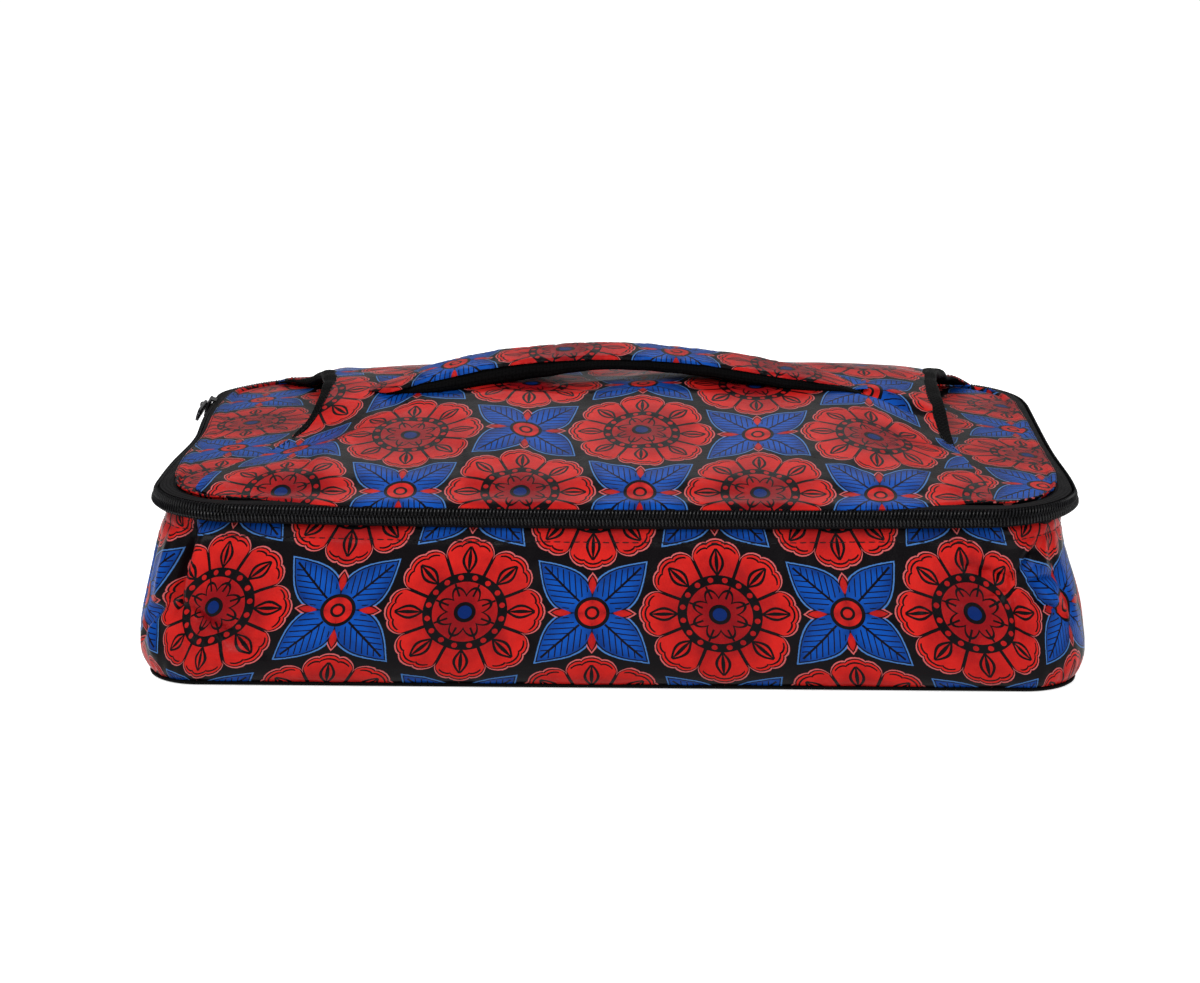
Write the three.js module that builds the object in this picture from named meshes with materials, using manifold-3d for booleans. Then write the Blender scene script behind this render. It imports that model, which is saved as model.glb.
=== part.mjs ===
// Zip-round insulated lunch bag: a shallow soft box that takes a baking dish.
// A printed wall with foam and lining, a lid on a cloth hinge, a raised yoke over the lid
// and a padded carrying handle on the yoke. Millimetres, +Z up, front towards -Y,
// origin on the table under the middle of the base.
import * as THREE from 'three';
import { mergeVertices } from 'three/addons/utils/BufferGeometryUtils.js';
import Module from 'manifold-3d';

// Driving dimensions
const RIM_WIDTH = 384; // over the closed zip, left to right
const RIM_DEPTH = 250; // over the closed zip, front to back
const RIM_CORNER_RADIUS = 40;
const BASE_WIDTH = 396; // the wall's foot stands out past the rim, before it is drawn in to the table
const BASE_DEPTH = 256;
const BASE_CORNER_RADIUS = 28;
const WALL_HEIGHT = 68; // table to the seam between wall and zip tape
const FOOT_HEIGHT = 16; // the wall rounds in to the base over this height
const FOOT_DRAW_IN = 10; // how far it would come in at the table
const SIDE_BULGE = 5; // swell of the left and right walls at half their height
const FRONT_BULGE = 2.6;
const BACK_BULGE = 1.6; // the hinge holds the back wall flatter
const CORNER_BULGE_SHARE = 0.6; // share of the swell that a corner has

const CLOTH = 1.2; // coated print cloth
const FOAM = 4; // insulating foam
const LINING = 0.8; // foil lining
const BOARD = 2; // stiffener under the base foam
const LAYER_GAP = 0.3; // between neighbouring layers
const BASE_PIPING_RADIUS = 1.2;
const PIPING_LIFT = 0.3; // the base piping stays this far above the table

const ZIP_TAPE = 0.8; // tape thickness
const ZIP_COIL_WIDTH = 2.5; // one row, across the zip
const ZIP_COIL_HEIGHT = 1.8;
const ZIP_ROW_GAP = 1.2; // free way between the rows, where the slider's post runs
const ZIP_TILT = THREE.MathUtils.degToRad(18); // the chain leans in from upright
const ZIP_RISE = 5.6; // zip line above the wall's top seam
const SEAM_INSET = 6.5; // wall top lies this far inside the rim, so the zip overhangs it
const SEAM_FRONT_INSET = 4; // the same at the middle of the front
const LID_INSET = 11.5; // lid edge lies this far inside the rim
const LID_FRONT_INSET = 7; // the same at the middle of the front
const LID_RISE = 11.5; // lid edge above the wall's top seam
const LID_CROWN = 8.5; // dome of the lid

const YOKE_WAIST_INSET = 46.5; // lid edge to the waist of the yoke's hourglass
const YOKE_FLARE = 57; // how far each side would flare out from the waist to the yoke's end
const YOKE_FLARE_POWER = 2.8;
const YOKE_FREE_SHARE = 0.82; // share of its length where the yoke's sides are free of the lid
const YOKE_LIFT = 12.2; // clear height of the tunnel under the yoke
const YOKE_EDGE_DROP = 0.15; // share of the lift lost at the yoke's free edges
const YOKE_LEVEL = 0.6; // share of the lid's fall to the sides that the yoke's top makes up
const YOKE_FLAT = 0.2; // share of the yoke's length that is level on top
const YOKE_FRONT_POWER = 1.2; // its front slopes evenly
const YOKE_BACK_POWER = 0.75; // its back stays full and then drops
const YOKE_SEAT = 0.9; // between the lid and the yoke where it is sewn down
const YOKE_LINING = 0.8;
const YOKE_BINDING = 2.6; // width of the binding on each free edge

const HANDLE_ROOT_INSET = 62; // yoke's waist to the end of the handle's free span
const HANDLE_RISE = 6.2; // arch of the underside, root to middle
const HANDLE_ARCH_POWER = 1.4;
const HANDLE_ROOT_CLEAR = 2.2; // underside above the yoke at the roots
const HANDLE_HALF_WIDTH = 15; // at the middle
const HANDLE_ROOT_HALF_WIDTH = 5.6;
const HANDLE_BACKING = 5; // black pad under the grip
const HANDLE_COVER_HEIGHT = 4.6; // printed cover over its core
const HANDLE_ROOT_SHARE = 0.5; // the strap thins to this share at its roots
const HANDLE_TAB_LENGTH = 30;
const HANDLE_TAB_HEIGHT = 5;

const SLIDER_LENGTH = 11;
const SLIDER_PLATE = 1.2; // plate thickness
const SLIDER_FLANGE = 1; // width of the flanges that hold the rows
const SLIDER_CLEAR = 0.4; // running clearance round the rows
const SLIDER_Y = 70; // where it is parked on the left side
const SLIDER_POST = 0.6; // thickness of the post between the rows
const BAIL_LENGTH = 7; // along the zip
const BAIL_WIRE = 1;
const PULL_LENGTH = 24;
const PULL_WIDTH = 6;
const PULL_THICKNESS = 1.4;
const PULL_EYE_WIDTH = 3;
const PULL_EYE_LENGTH = 4.4;
const PULL_BAR = 1.6; // bar of the eye that turns under the bail
const ZIP_STOP_LENGTH = 3;

// Facets
const CORNER_STEPS = 5;
const LONG_SIDE_STEPS = 4;
const SHORT_SIDE_STEPS = 3;
const YOKE_STEPS_ACROSS = 10;
const YOKE_STEPS_ALONG = 14;
const HANDLE_STEPS = 16;
const PIPING_SIDES = 6;

// Materials
const finish = (color, roughness, metalness = 0) => new THREE.MeshStandardMaterial({ color, roughness, metalness });
const PRINT = finish(0xc8281e, 0.3);
const BLACK_TAPE = finish(0x161517, 0.7);
const BLACK_COIL = finish(0x1c1c1f, 0.35);
const FOIL = finish(0xb9bec4, 0.3, 0.6);
const WHITE_FOAM = finish(0xe8e6df, 0.9);
const GREY_BOARD = finish(0x6d6a66, 0.8);
const BLACK_METAL = finish(0x202023, 0.3, 0.7);

const wasm = await Module();
wasm.setup();

const bag = new THREE.Group();

function addPiece(name, geometry, material, parent = bag) {
  const mesh = new THREE.Mesh(geometry, material);
  mesh.name = name;
  parent.add(mesh);
  return mesh;
}

// Closed solids from points and triangles, turned so that their faces point out.
function closedGeometry(points, triangles) {
  let volume = 0;
  const cross = new THREE.Vector3();
  for (const [a, b, c] of triangles) volume += points[a].dot(cross.crossVectors(points[b], points[c]));
  const index = volume < 0 ? triangles.map(([a, b, c]) => [a, c, b]) : triangles;
  const geometry = new THREE.BufferGeometry().setFromPoints(points);
  return geometry.setIndex(index.flat());
}

// Two triangles over four corners, split along the shorter diagonal.
function quad(points, a, b, c, d) {
  const isAcShorter = points[a].distanceTo(points[c]) < points[b].distanceTo(points[d]);
  return isAcShorter ? [[a, b, c], [a, c, d]] : [[a, b, d], [b, c, d]];
}

// A section carried along a path: one polygon of points at each station, with flat ends or joined into a loop.
function sweep(stations, isLoop) {
  const sides = stations[0].length;
  const points = stations.flat();
  const triangles = [];
  const last = isLoop ? stations.length : stations.length - 1;
  for (let i = 0; i < last; i += 1) {
    const here = i * sides;
    const next = ((i + 1) % stations.length) * sides;
    for (let k = 0; k < sides; k += 1) {
      const m = (k + 1) % sides;
      triangles.push(...quad(points, here + k, here + m, next + m, next + k));
    }
  }
  if (!isLoop) {
    const end = (stations.length - 1) * sides;
    for (const [a, b, c] of endCap(stations[0])) triangles.push([c, b, a]);
    for (const [a, b, c] of endCap(stations.at(-1))) triangles.push([end + a, end + b, end + c]);
  }
  return closedGeometry(points, triangles);
}

// Triangles of a flat polygon in space, seen along its widest direction.
function endCap(polygon) {
  const normal = new THREE.Vector3();
  polygon.forEach((p, k) => normal.add(new THREE.Vector3().crossVectors(p, polygon[(k + 1) % polygon.length])));
  const turn = new THREE.Quaternion().setFromUnitVectors(normal.normalize(), new THREE.Vector3(0, 0, 1));
  const flat = polygon.map((p) => new THREE.Vector2().copy(p.clone().applyQuaternion(turn)));
  return THREE.ShapeUtils.triangulateShape(flat, []);
}

// Rings of points joined one to the next, closed by a fan over the first and the last.
function stack(rings) {
  const count = rings[0].length;
  const points = rings.flat();
  const triangles = [];
  for (let r = 0; r < rings.length - 1; r += 1) {
    for (let k = 0; k < count; k += 1) {
      const m = (k + 1) % count;
      triangles.push(...quad(points, r * count + k, r * count + m, (r + 1) * count + m, (r + 1) * count + k));
    }
  }
  for (const [ring, isFirst] of [[0, true], [rings.length - 1, false]]) {
    const centre = rings[ring].reduce((sum, p) => sum.add(p), new THREE.Vector3()).divideScalar(count);
    points.push(centre);
    for (let k = 0; k < count; k += 1) {
      const a = ring * count + k;
      const b = ring * count + ((k + 1) % count);
      triangles.push(isFirst ? [b, a, points.length - 1] : [a, b, points.length - 1]);
    }
  }
  return closedGeometry(points, triangles);
}

// The plan outline, from the hinge's left end round the left, front and right sides and back along the hinge.
// Each point has its outward normal and how far along its side it lies, 0 at a corner and 1 in the middle.
function planOutline(halfWidth, halfDepth, radius) {
  const corners = [[-1, 1, 90], [-1, -1, 180], [1, -1, 270], [1, 1, 0]];
  const steps = [SHORT_SIDE_STEPS, LONG_SIDE_STEPS, SHORT_SIDE_STEPS, LONG_SIDE_STEPS];
  const points = [];
  const arcs = corners.map(([sx, sy, start]) => Array.from({ length: CORNER_STEPS + 1 }, (_, k) => {
    const angle = THREE.MathUtils.degToRad(start + (90 * k) / CORNER_STEPS);
    const normal = new THREE.Vector2(Math.cos(angle), Math.sin(angle));
    const centre = new THREE.Vector2(sx * (halfWidth - radius), sy * (halfDepth - radius));
    return { point: centre.addScaledVector(normal, radius), normal, along: 0 };
  }));
  arcs.forEach((arc, side) => {
    points.push(...arc);
    const from = arc.at(-1);
    const to = arcs[(side + 1) % arcs.length][0];
    for (let k = 1; k < steps[side]; k += 1) {
      const share = k / steps[side];
      points.push({
        point: from.point.clone().lerp(to.point, share),
        normal: from.normal,
        along: Math.sin(Math.PI * share),
      });
    }
  });
  return points;
}

const RIM = planOutline(RIM_WIDTH / 2, RIM_DEPTH / 2, RIM_CORNER_RADIUS);
const BASE = planOutline(BASE_WIDTH / 2, BASE_DEPTH / 2, BASE_CORNER_RADIUS);
const HINGE_STATIONS = [...Array(LONG_SIDE_STEPS + 1).keys()].map((k) => (RIM.length - LONG_SIDE_STEPS + k) % RIM.length);
const ZIP_STATIONS = [...Array(RIM.length - LONG_SIDE_STEPS + 1).keys()];

// A point at a station of the rim outline, a distance inside it.
function rimPoint(station, [inset, z]) {
  const { point, normal } = RIM[station];
  return new THREE.Vector3(point.x - inset * normal.x, point.y - inset * normal.y, z);
}

// A value that changes from the sides to the middle of the front.
function towardsFront(station, atSides, atFront) {
  const share = RIM[station].normal.y < -0.99 ? RIM[station].along : 0;
  return THREE.MathUtils.lerp(atSides, atFront, share);
}

// The wall's top seam comes out to the rim along the back, where the lid hinges on it.
function seamInset(station) {
  const hinged = Math.max(0, RIM[station].normal.y);
  return towardsFront(station, SEAM_INSET, SEAM_FRONT_INSET) * (1 - hinged);
}

// A point at a station of the base outline, a distance inside it.
function basePoint(station, [inset, z]) {
  const { point, normal } = BASE[station];
  return new THREE.Vector3(point.x - inset * normal.x, point.y - inset * normal.y, z);
}

// How far the wall is drawn in at a height, on a quarter oval down to the table.
function footDrawIn(z) {
  const below = THREE.MathUtils.clamp(1 - z / FOOT_HEIGHT, 0, 1);
  return FOOT_DRAW_IN * (1 - Math.sqrt(1 - below ** 2));
}

// Swell at half height, which differs from side to side and is less at the corners.
function bulge(station) {
  const { normal, along } = RIM[station];
  const facing = normal.y < 0 ? FRONT_BULGE : BACK_BULGE;
  const full = SIDE_BULGE * normal.x ** 2 + facing * normal.y ** 2;
  return full * THREE.MathUtils.lerp(CORNER_BULGE_SHARE, 1, along);
}

// A point on the wall's outer face at a station and height, a distance inside the face.
function wallPoint(station, [inset, z]) {
  const share = z / WALL_HEIGHT;
  const top = RIM[station].point.clone().addScaledVector(RIM[station].normal, -seamInset(station));
  const swell = bulge(station) * Math.sin(Math.PI * THREE.MathUtils.clamp(share, 0, 1));
  const plan = BASE[station].point.clone().lerp(top, share);
  plan.addScaledVector(RIM[station].normal, swell - inset - footDrawIn(z));
  return new THREE.Vector3(plan.x, plan.y, z);
}

const loopOf = (section, place) => sweep(RIM.map((_, station) => section.map((p) => place(station, p))), true);
const zipRun = (section) => sweep(ZIP_STATIONS.map((s) => section(s).map((p) => rimPoint(s, p))), false);

// A layer of the wall between two heights and two depths inside its face.
function wallLayer(from, to, low, high) {
  const heights = [low, 0.45 * FOOT_HEIGHT, FOOT_HEIGHT, 0.55 * WALL_HEIGHT, high];
  const outer = heights.map((z) => [from, z]);
  const inner = heights.map((z) => [to, z]);
  return loopOf([...outer, ...inner.reverse()], wallPoint);
}

// A round bead carried round an outline.
function bead(inset, z, radius) {
  return Array.from({ length: PIPING_SIDES }, (_, k) => {
    const angle = (2 * Math.PI * (k + 0.5)) / PIPING_SIDES;
    return [inset + radius * Math.cos(angle), z + radius * Math.sin(angle)];
  });
}

// Body: walls
const foamFrom = CLOTH + LAYER_GAP;
const liningFrom = foamFrom + FOAM + LAYER_GAP;
const wallDepth = liningFrom + LINING;
const wallFoot = PIPING_LIFT + 2 * BASE_PIPING_RADIUS + LAYER_GAP;
const foamTop = WALL_HEIGHT - LINING - LAYER_GAP;

addPiece('outer_wall', wallLayer(0, CLOTH, wallFoot, WALL_HEIGHT), PRINT);
addPiece('wall_foam', wallLayer(foamFrom, foamFrom + FOAM, wallFoot, foamTop), WHITE_FOAM);
addPiece('wall_lining', wallLayer(liningFrom, wallDepth, wallFoot, foamTop), FOIL);

// The binding over the foam's top edge lies flat on the mouth.
const mouthBinding = [
  [foamFrom, foamTop + LAYER_GAP], [wallDepth, foamTop + LAYER_GAP], [wallDepth, WALL_HEIGHT], [foamFrom, WALL_HEIGHT],
];
addPiece('mouth_binding', loopOf(mouthBinding, wallPoint), BLACK_TAPE);

// Body: base
const pipingInset = footDrawIn(wallFoot) + CLOTH / 2 + BASE_PIPING_RADIUS; // under the wall's lower edge
const basePiping = bead(pipingInset, PIPING_LIFT + BASE_PIPING_RADIUS, BASE_PIPING_RADIUS);
addPiece('base_piping', loopOf(basePiping, basePoint), BLACK_TAPE);

function baseSheet(inset, low, thickness, place) {
  const ring = (z) => BASE.map((_, station) => place(station, [inset, z]));
  return stack([ring(low), ring(low + thickness)]);
}

const panelInset = pipingInset + BASE_PIPING_RADIUS + 2 * LAYER_GAP;
const layerInset = wallDepth + 2 * LAYER_GAP; // inside the lining
const boardZ = CLOTH + LAYER_GAP;
const baseFoamZ = boardZ + BOARD + LAYER_GAP;
const baseLiningZ = baseFoamZ + FOAM + LAYER_GAP;
addPiece('base_panel', baseSheet(panelInset, 0, CLOTH, basePoint), PRINT);
addPiece('base_board', baseSheet(layerInset, boardZ, BOARD, wallPoint), GREY_BOARD);
addPiece('base_foam', baseSheet(layerInset, baseFoamZ, FOAM, wallPoint), WHITE_FOAM);
addPiece('base_lining', baseSheet(layerInset, baseLiningZ, LINING, wallPoint), FOIL);

// Zip: across the chain and out from it, measured from the zip line
const coilOut = ZIP_TAPE / 2 + LAYER_GAP + ZIP_COIL_HEIGHT;
const zipInset = coilOut * Math.cos(ZIP_TILT); // the coil's face is the rim outline
const zipZ = WALL_HEIGHT + ZIP_RISE;
function zipPoint(across, out) {
  return [
    zipInset + across * Math.sin(ZIP_TILT) - out * Math.cos(ZIP_TILT),
    zipZ + across * Math.cos(ZIP_TILT) + out * Math.sin(ZIP_TILT),
  ];
}

// A strip of cloth along a bent line in section, with its thickness square to the line.
function stripSection(line, thickness) {
  const normals = line.map((_, k) => {
    const [ax, az] = line[Math.max(0, k - 1)];
    const [bx, bz] = line[Math.min(line.length - 1, k + 1)];
    return new THREE.Vector2(az - bz, bx - ax).setLength(thickness / 2);
  });
  const shifted = (sign) => line.map(([x, z], k) => [x + sign * normals[k].x, z + sign * normals[k].y]);
  return [...shifted(1), ...shifted(-1).reverse()];
}

const tapeBend = ZIP_ROW_GAP / 2 + ZIP_COIL_WIDTH + LAYER_GAP;
const seamZ = WALL_HEIGHT + LAYER_GAP + ZIP_TAPE / 2;

// The lid's domed top, and its edge at a station
const lidHalf = new THREE.Vector2(RIM_WIDTH / 2 - LID_INSET, RIM_DEPTH / 2 - LID_INSET);
function lidTop(x, y) {
  const reach = Math.hypot((x / lidHalf.x) ** 2, (y / lidHalf.y) ** 2);
  return WALL_HEIGHT + LID_RISE + LID_CROWN * (1 - reach);
}

const lidInset = (station) => towardsFront(station, LID_INSET, LID_FRONT_INSET);

// The seam that holds tape or hinge, in section, just outside the lid's edge.
function lidSeam(station) {
  const edge = rimPoint(station, [lidInset(station), 0]);
  return [lidInset(station) - LAYER_GAP - ZIP_TAPE / 2, lidTop(edge.x, edge.y) - CLOTH / 2];
}

// The lower tape starts on the wall's top edge, the upper one ends on the lid's, wherever they lie at a station.
function lowerTape(station) {
  const start = [seamInset(station) + CLOTH / 2, seamZ];
  return stripSection([start, zipPoint(-tapeBend, 0), zipPoint(-ZIP_ROW_GAP / 2, 0)], ZIP_TAPE);
}

function upperTape(station) {
  return stripSection([zipPoint(ZIP_ROW_GAP / 2, 0), zipPoint(tapeBend, 0), lidSeam(station)], ZIP_TAPE);
}

function coilSection(side) {
  const low = ZIP_TAPE / 2 + LAYER_GAP;
  const near = ZIP_ROW_GAP / 2;
  const far = near + ZIP_COIL_WIDTH;
  const corner = ZIP_COIL_HEIGHT / 3;
  const profile = [
    [near, low], [far - corner, low], [far, low + corner], [far, coilOut - corner],
    [far - corner, coilOut], [near + corner, coilOut], [near, coilOut - corner],
  ];
  return profile.map(([across, out]) => zipPoint(side * across, out));
}

addPiece('lower_zip_tape', zipRun(lowerTape), BLACK_TAPE);
addPiece('lower_zip_coil', zipRun(() => coilSection(-1)), BLACK_COIL);
addPiece('upper_zip_tape', zipRun(upperTape), BLACK_TAPE);
addPiece('upper_zip_coil', zipRun(() => coilSection(1)), BLACK_COIL);

// A stop clipped over each end of the lower row, against the hinge.
for (const side of [-1, 1]) {
  const stop = new THREE.BoxGeometry(ZIP_STOP_LENGTH, ZIP_COIL_HEIGHT, ZIP_COIL_WIDTH);
  const [inset, z] = zipPoint(-(ZIP_ROW_GAP + ZIP_COIL_WIDTH) / 2, ZIP_TAPE / 2 + LAYER_GAP + ZIP_COIL_HEIGHT / 2);
  const hingeEnd = RIM_WIDTH / 2 - RIM_CORNER_RADIUS;
  const piece = addPiece(side < 0 ? 'zip_stop_left' : 'zip_stop_right', stop, BLACK_METAL);
  piece.position.set(side * (hingeEnd - LAYER_GAP - ZIP_STOP_LENGTH / 2), RIM_DEPTH / 2 - inset, z);
  piece.rotation.x = ZIP_TILT;
}

// Lid: the cloth hinge along the back, from the wall's top edge to the lid's edge
const hingeFoot = [CLOTH, WALL_HEIGHT + LAYER_GAP + CLOTH / 2];
const hingeStations = HINGE_STATIONS.map((s, k) => {
  const isEnd = k === 0 || k === HINGE_STATIONS.length - 1;
  const towardsMiddle = isEnd ? -Math.sign(RIM[s].point.x) * (LAYER_GAP + ZIP_STOP_LENGTH + LAYER_GAP) : 0;
  const section = stripSection([hingeFoot, lidSeam(s)], CLOTH);
  return section.map((p) => rimPoint(s, p).setX(RIM[s].point.x + towardsMiddle));
});
addPiece('hinge_band', sweep(hingeStations, false), BLACK_TAPE);

// Lid: a domed sheet inside the zip
function lidLayer(depth, thickness, edgeInset) {
  const shares = [0.2, 0.5, 0.8, 1];
  const ring = (share, below) => RIM.map((_, station) => {
    const p = rimPoint(station, [lidInset(station) + edgeInset, 0]).multiplyScalar(share);
    return p.setZ(lidTop(p.x, p.y) - below);
  });
  const top = shares.map((share) => ring(share, depth));
  const under = shares.map((share) => ring(share, depth + thickness)).reverse();
  return stack([...top, ...under]);
}

addPiece('lid_panel', lidLayer(0, CLOTH, 0), PRINT);
addPiece('lid_foam', lidLayer(CLOTH + LAYER_GAP, FOAM, CLOTH), WHITE_FOAM);
addPiece('lid_lining', lidLayer(CLOTH + FOAM + 2 * LAYER_GAP, LINING, CLOTH), FOIL);

// Yoke: sewn down at the front and back edges of the lid, lifted clear of it between
const yokeLength = lidHalf.y - CLOTH; // half its length
const yokeFrontReach = LID_INSET - LID_FRONT_INSET; // its front edge bows out with the lid's
const yokeCoverFrom = YOKE_LINING + LAYER_GAP;
const yokeThickness = yokeCoverFrom + CLOTH;
const yokeWaist = lidHalf.x - YOKE_WAIST_INSET;
const lidCorner = RIM_CORNER_RADIUS - LID_INSET;

// Half the lid's width at a distance from its middle, less round its corners.
function lidHalfWidth(y) {
  const past = Math.max(0, Math.abs(y) - (lidHalf.y - lidCorner));
  return lidHalf.x - lidCorner + Math.sqrt(lidCorner ** 2 - past ** 2);
}

// The yoke flares from its waist until it meets the lid's edge.
function yokeHalfWidth(y) {
  const flared = yokeWaist + YOKE_FLARE * Math.abs(y / yokeLength) ** YOKE_FLARE_POWER;
  return Math.min(flared, lidHalfWidth(Math.min(Math.abs(y), yokeLength)) - CLOTH);
}

function yokeUnder(x, y) {
  const rise = THREE.MathUtils.clamp((1 - Math.abs(y) / yokeLength) / (1 - YOKE_FLAT), 0, 1);
  const ramp = rise ** (y < 0 ? YOKE_FRONT_POWER : YOKE_BACK_POWER);
  const edge = 1 - YOKE_EDGE_DROP * (x / yokeHalfWidth(y)) ** 2;
  const level = YOKE_LEVEL * (lidTop(0, y) - lidTop(x, y));
  return lidTop(x, y) + YOKE_SEAT + ramp * (YOKE_LIFT * edge + level);
}

const yokeY = (k) => yokeLength * ((2 * k) / YOKE_STEPS_ALONG - 1);

function yokeLayer(depth, thickness) {
  const stations = Array.from({ length: YOKE_STEPS_ALONG + 1 }, (_, k) => {
    const y = yokeY(k);
    const row = (above) => Array.from({ length: YOKE_STEPS_ACROSS + 1 }, (__, m) => {
      const across = (2 * m) / YOKE_STEPS_ACROSS - 1;
      const x = yokeHalfWidth(y) * across;
      const bowed = y - yokeFrontReach * Math.max(0, -y / yokeLength) ** 2 * (1 - across ** 2);
      return new THREE.Vector3(x, bowed, yokeUnder(x, bowed) + above);
    });
    return [...row(depth), ...row(depth + thickness).reverse()];
  });
  return sweep(stations, false);
}

addPiece('yoke_lining', yokeLayer(0, YOKE_LINING), BLACK_TAPE);
addPiece('yoke_cover', yokeLayer(yokeCoverFrom, CLOTH), PRINT);

// The binding along each free edge, rounded over the edges of cover and lining.
const freeSteps = [...Array(YOKE_STEPS_ALONG + 1).keys()].filter((k) => Math.abs(yokeY(k)) < YOKE_FREE_SHARE * yokeLength);
for (const side of [-1, 1]) {
  const stations = freeSteps.map((k) => {
    const y = yokeY(k);
    const x = yokeHalfWidth(y);
    const z = yokeUnder(x, y);
    const out = [LAYER_GAP, YOKE_BINDING * 0.7, YOKE_BINDING, YOKE_BINDING * 0.7, LAYER_GAP];
    const up = [0, 0.1, 0.5, 0.9, 1];
    return out.map((o, m) => new THREE.Vector3(side * (x + o), y, z + up[m] * yokeThickness));
  });
  addPiece(side < 0 ? 'yoke_binding_left' : 'yoke_binding_right', sweep(stations, false), BLACK_TAPE);
}

// Handle: a padded strap that arches between two tabs sewn on the yoke
const yokeTop = (x, y) => yokeUnder(x, y) + yokeThickness;
const handleRoot = yokeWaist - HANDLE_ROOT_INSET; // half the free span
const handleRootZ = yokeTop(handleRoot, 0) + HANDLE_ROOT_CLEAR;
const arch = (x) => Math.max(0, 1 - Math.abs(x / handleRoot) ** HANDLE_ARCH_POWER);
const handleShare = (x) => HANDLE_ROOT_SHARE + (1 - HANDLE_ROOT_SHARE) * Math.sqrt(arch(x));
const handleUnder = (x) => handleRootZ + HANDLE_RISE * arch(x);
const widthSpan = HANDLE_HALF_WIDTH - HANDLE_ROOT_HALF_WIDTH;
const handleHalf = (x) => HANDLE_ROOT_HALF_WIDTH + widthSpan * (1 - (x / handleRoot) ** 4);

function handlePiece(section) {
  const stations = Array.from({ length: HANDLE_STEPS + 1 }, (_, k) => {
    const x = handleRoot * ((2 * k) / HANDLE_STEPS - 1);
    return section(handleHalf(x), handleShare(x)).map(([y, z]) => new THREE.Vector3(x, y, handleUnder(x) + z));
  });
  return sweep(stations, false);
}

function backingSection(half, share) {
  const height = HANDLE_BACKING * share;
  const chamfer = height * 0.3;
  return [
    [-half + chamfer, 0], [half - chamfer, 0], [half, chamfer], [half, height], [-half, height], [-half, chamfer],
  ];
}

// Half an oval on the backing, a distance inside the cover's outer face.
function coverOval(half, share, inset) {
  const bottom = HANDLE_BACKING * share + LAYER_GAP;
  const height = HANDLE_COVER_HEIGHT * share - LAYER_GAP - inset;
  return Array.from({ length: 7 }, (_, k) => {
    const angle = (Math.PI * k) / 6;
    const y = Math.sign(Math.cos(angle)) * Math.abs(Math.cos(angle)) ** 0.6 * (half - inset);
    return [y, bottom + height * Math.sin(angle) ** 0.7];
  });
}

const coverThickness = (share) => CLOTH * share;
addPiece('handle_backing', handlePiece(backingSection), BLACK_TAPE);
addPiece('handle_core', handlePiece((half, share) => (
  coverOval(half, share, coverThickness(share) + LAYER_GAP * share)
)), WHITE_FOAM);
addPiece('handle_cover', handlePiece((half, share) => [
  ...coverOval(half, share, 0), ...coverOval(half, share, coverThickness(share)).reverse(),
]), PRINT);

// Each tab lies on the yoke from the end of the strap outwards, and thins to its tip.
for (const side of [-1, 1]) {
  const steps = 5;
  const stations = Array.from({ length: steps + 1 }, (_, k) => {
    const share = k / steps;
    const x = side * (handleRoot + LAYER_GAP + share * HANDLE_TAB_LENGTH);
    const half = HANDLE_ROOT_HALF_WIDTH * (1 - 0.6 * share ** 2);
    const height = HANDLE_TAB_HEIGHT * (1 - 0.6 * share);
    const across = [-1, -0.35, 0.35, 1].map((t) => t * half);
    const foot = across.map((y) => new THREE.Vector3(x, y, yokeTop(x, y) + LAYER_GAP));
    const crown = [...across].reverse().map((y) => {
      const rise = height * (1 - 0.3 * (y / half) ** 2);
      return new THREE.Vector3(x, y, yokeTop(x, y) + LAYER_GAP + rise);
    });
    return [...foot, ...crown];
  });
  addPiece(side < 0 ? 'handle_tab_left' : 'handle_tab_right', sweep(stations, false), PRINT);
}

// Booleans on closed geometries
function toManifold(geometry) {
  const bare = geometry.clone();
  bare.deleteAttribute('normal');
  bare.deleteAttribute('uv');
  const merged = mergeVertices(bare, 1e-4);
  const mesh = new wasm.Mesh({
    numProp: 3,
    vertProperties: new Float32Array(merged.attributes.position.array),
    triVerts: new Uint32Array(merged.index.array),
  });
  return new wasm.Manifold(mesh);
}

function union(geometries) {
  const joined = geometries.map(toManifold).reduce((sum, next) => sum.add(next)).getMesh();
  const made = new THREE.BufferGeometry();
  made.setAttribute('position', new THREE.BufferAttribute(joined.vertProperties, 3));
  return made.setIndex(new THREE.BufferAttribute(joined.triVerts, 1));
}

// Zip slider, in its own frame: X across the zip towards the lid, Y along it to the back, Z out of the chain
const slider = new THREE.Group();
const [sliderInset, sliderZ] = zipPoint(0, 0);
slider.position.set(-RIM_WIDTH / 2 + sliderInset, SLIDER_Y, sliderZ);
const acrossZip = new THREE.Vector3(Math.sin(ZIP_TILT), 0, Math.cos(ZIP_TILT));
const alongZip = new THREE.Vector3(0, 1, 0);
slider.setRotationFromMatrix(new THREE.Matrix4().makeBasis(
  acrossZip, alongZip, new THREE.Vector3().crossVectors(acrossZip, alongZip),
));
bag.add(slider);

const block = (width, length, height, x, y, z) => new THREE.BoxGeometry(width, length, height).translate(x, y, z);
const plateZ = coilOut + SLIDER_CLEAR;
const rowsHalf = ZIP_ROW_GAP / 2 + ZIP_COIL_WIDTH + SLIDER_CLEAR;
const plateHalf = rowsHalf + SLIDER_FLANGE;
const plateTop = plateZ + SLIDER_PLATE;
const innerZ = -ZIP_TAPE / 2 - 1.5 * SLIDER_CLEAR - SLIDER_PLATE;
const innerHalf = ZIP_ROW_GAP / 2 + ZIP_COIL_WIDTH - SLIDER_CLEAR;

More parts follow.
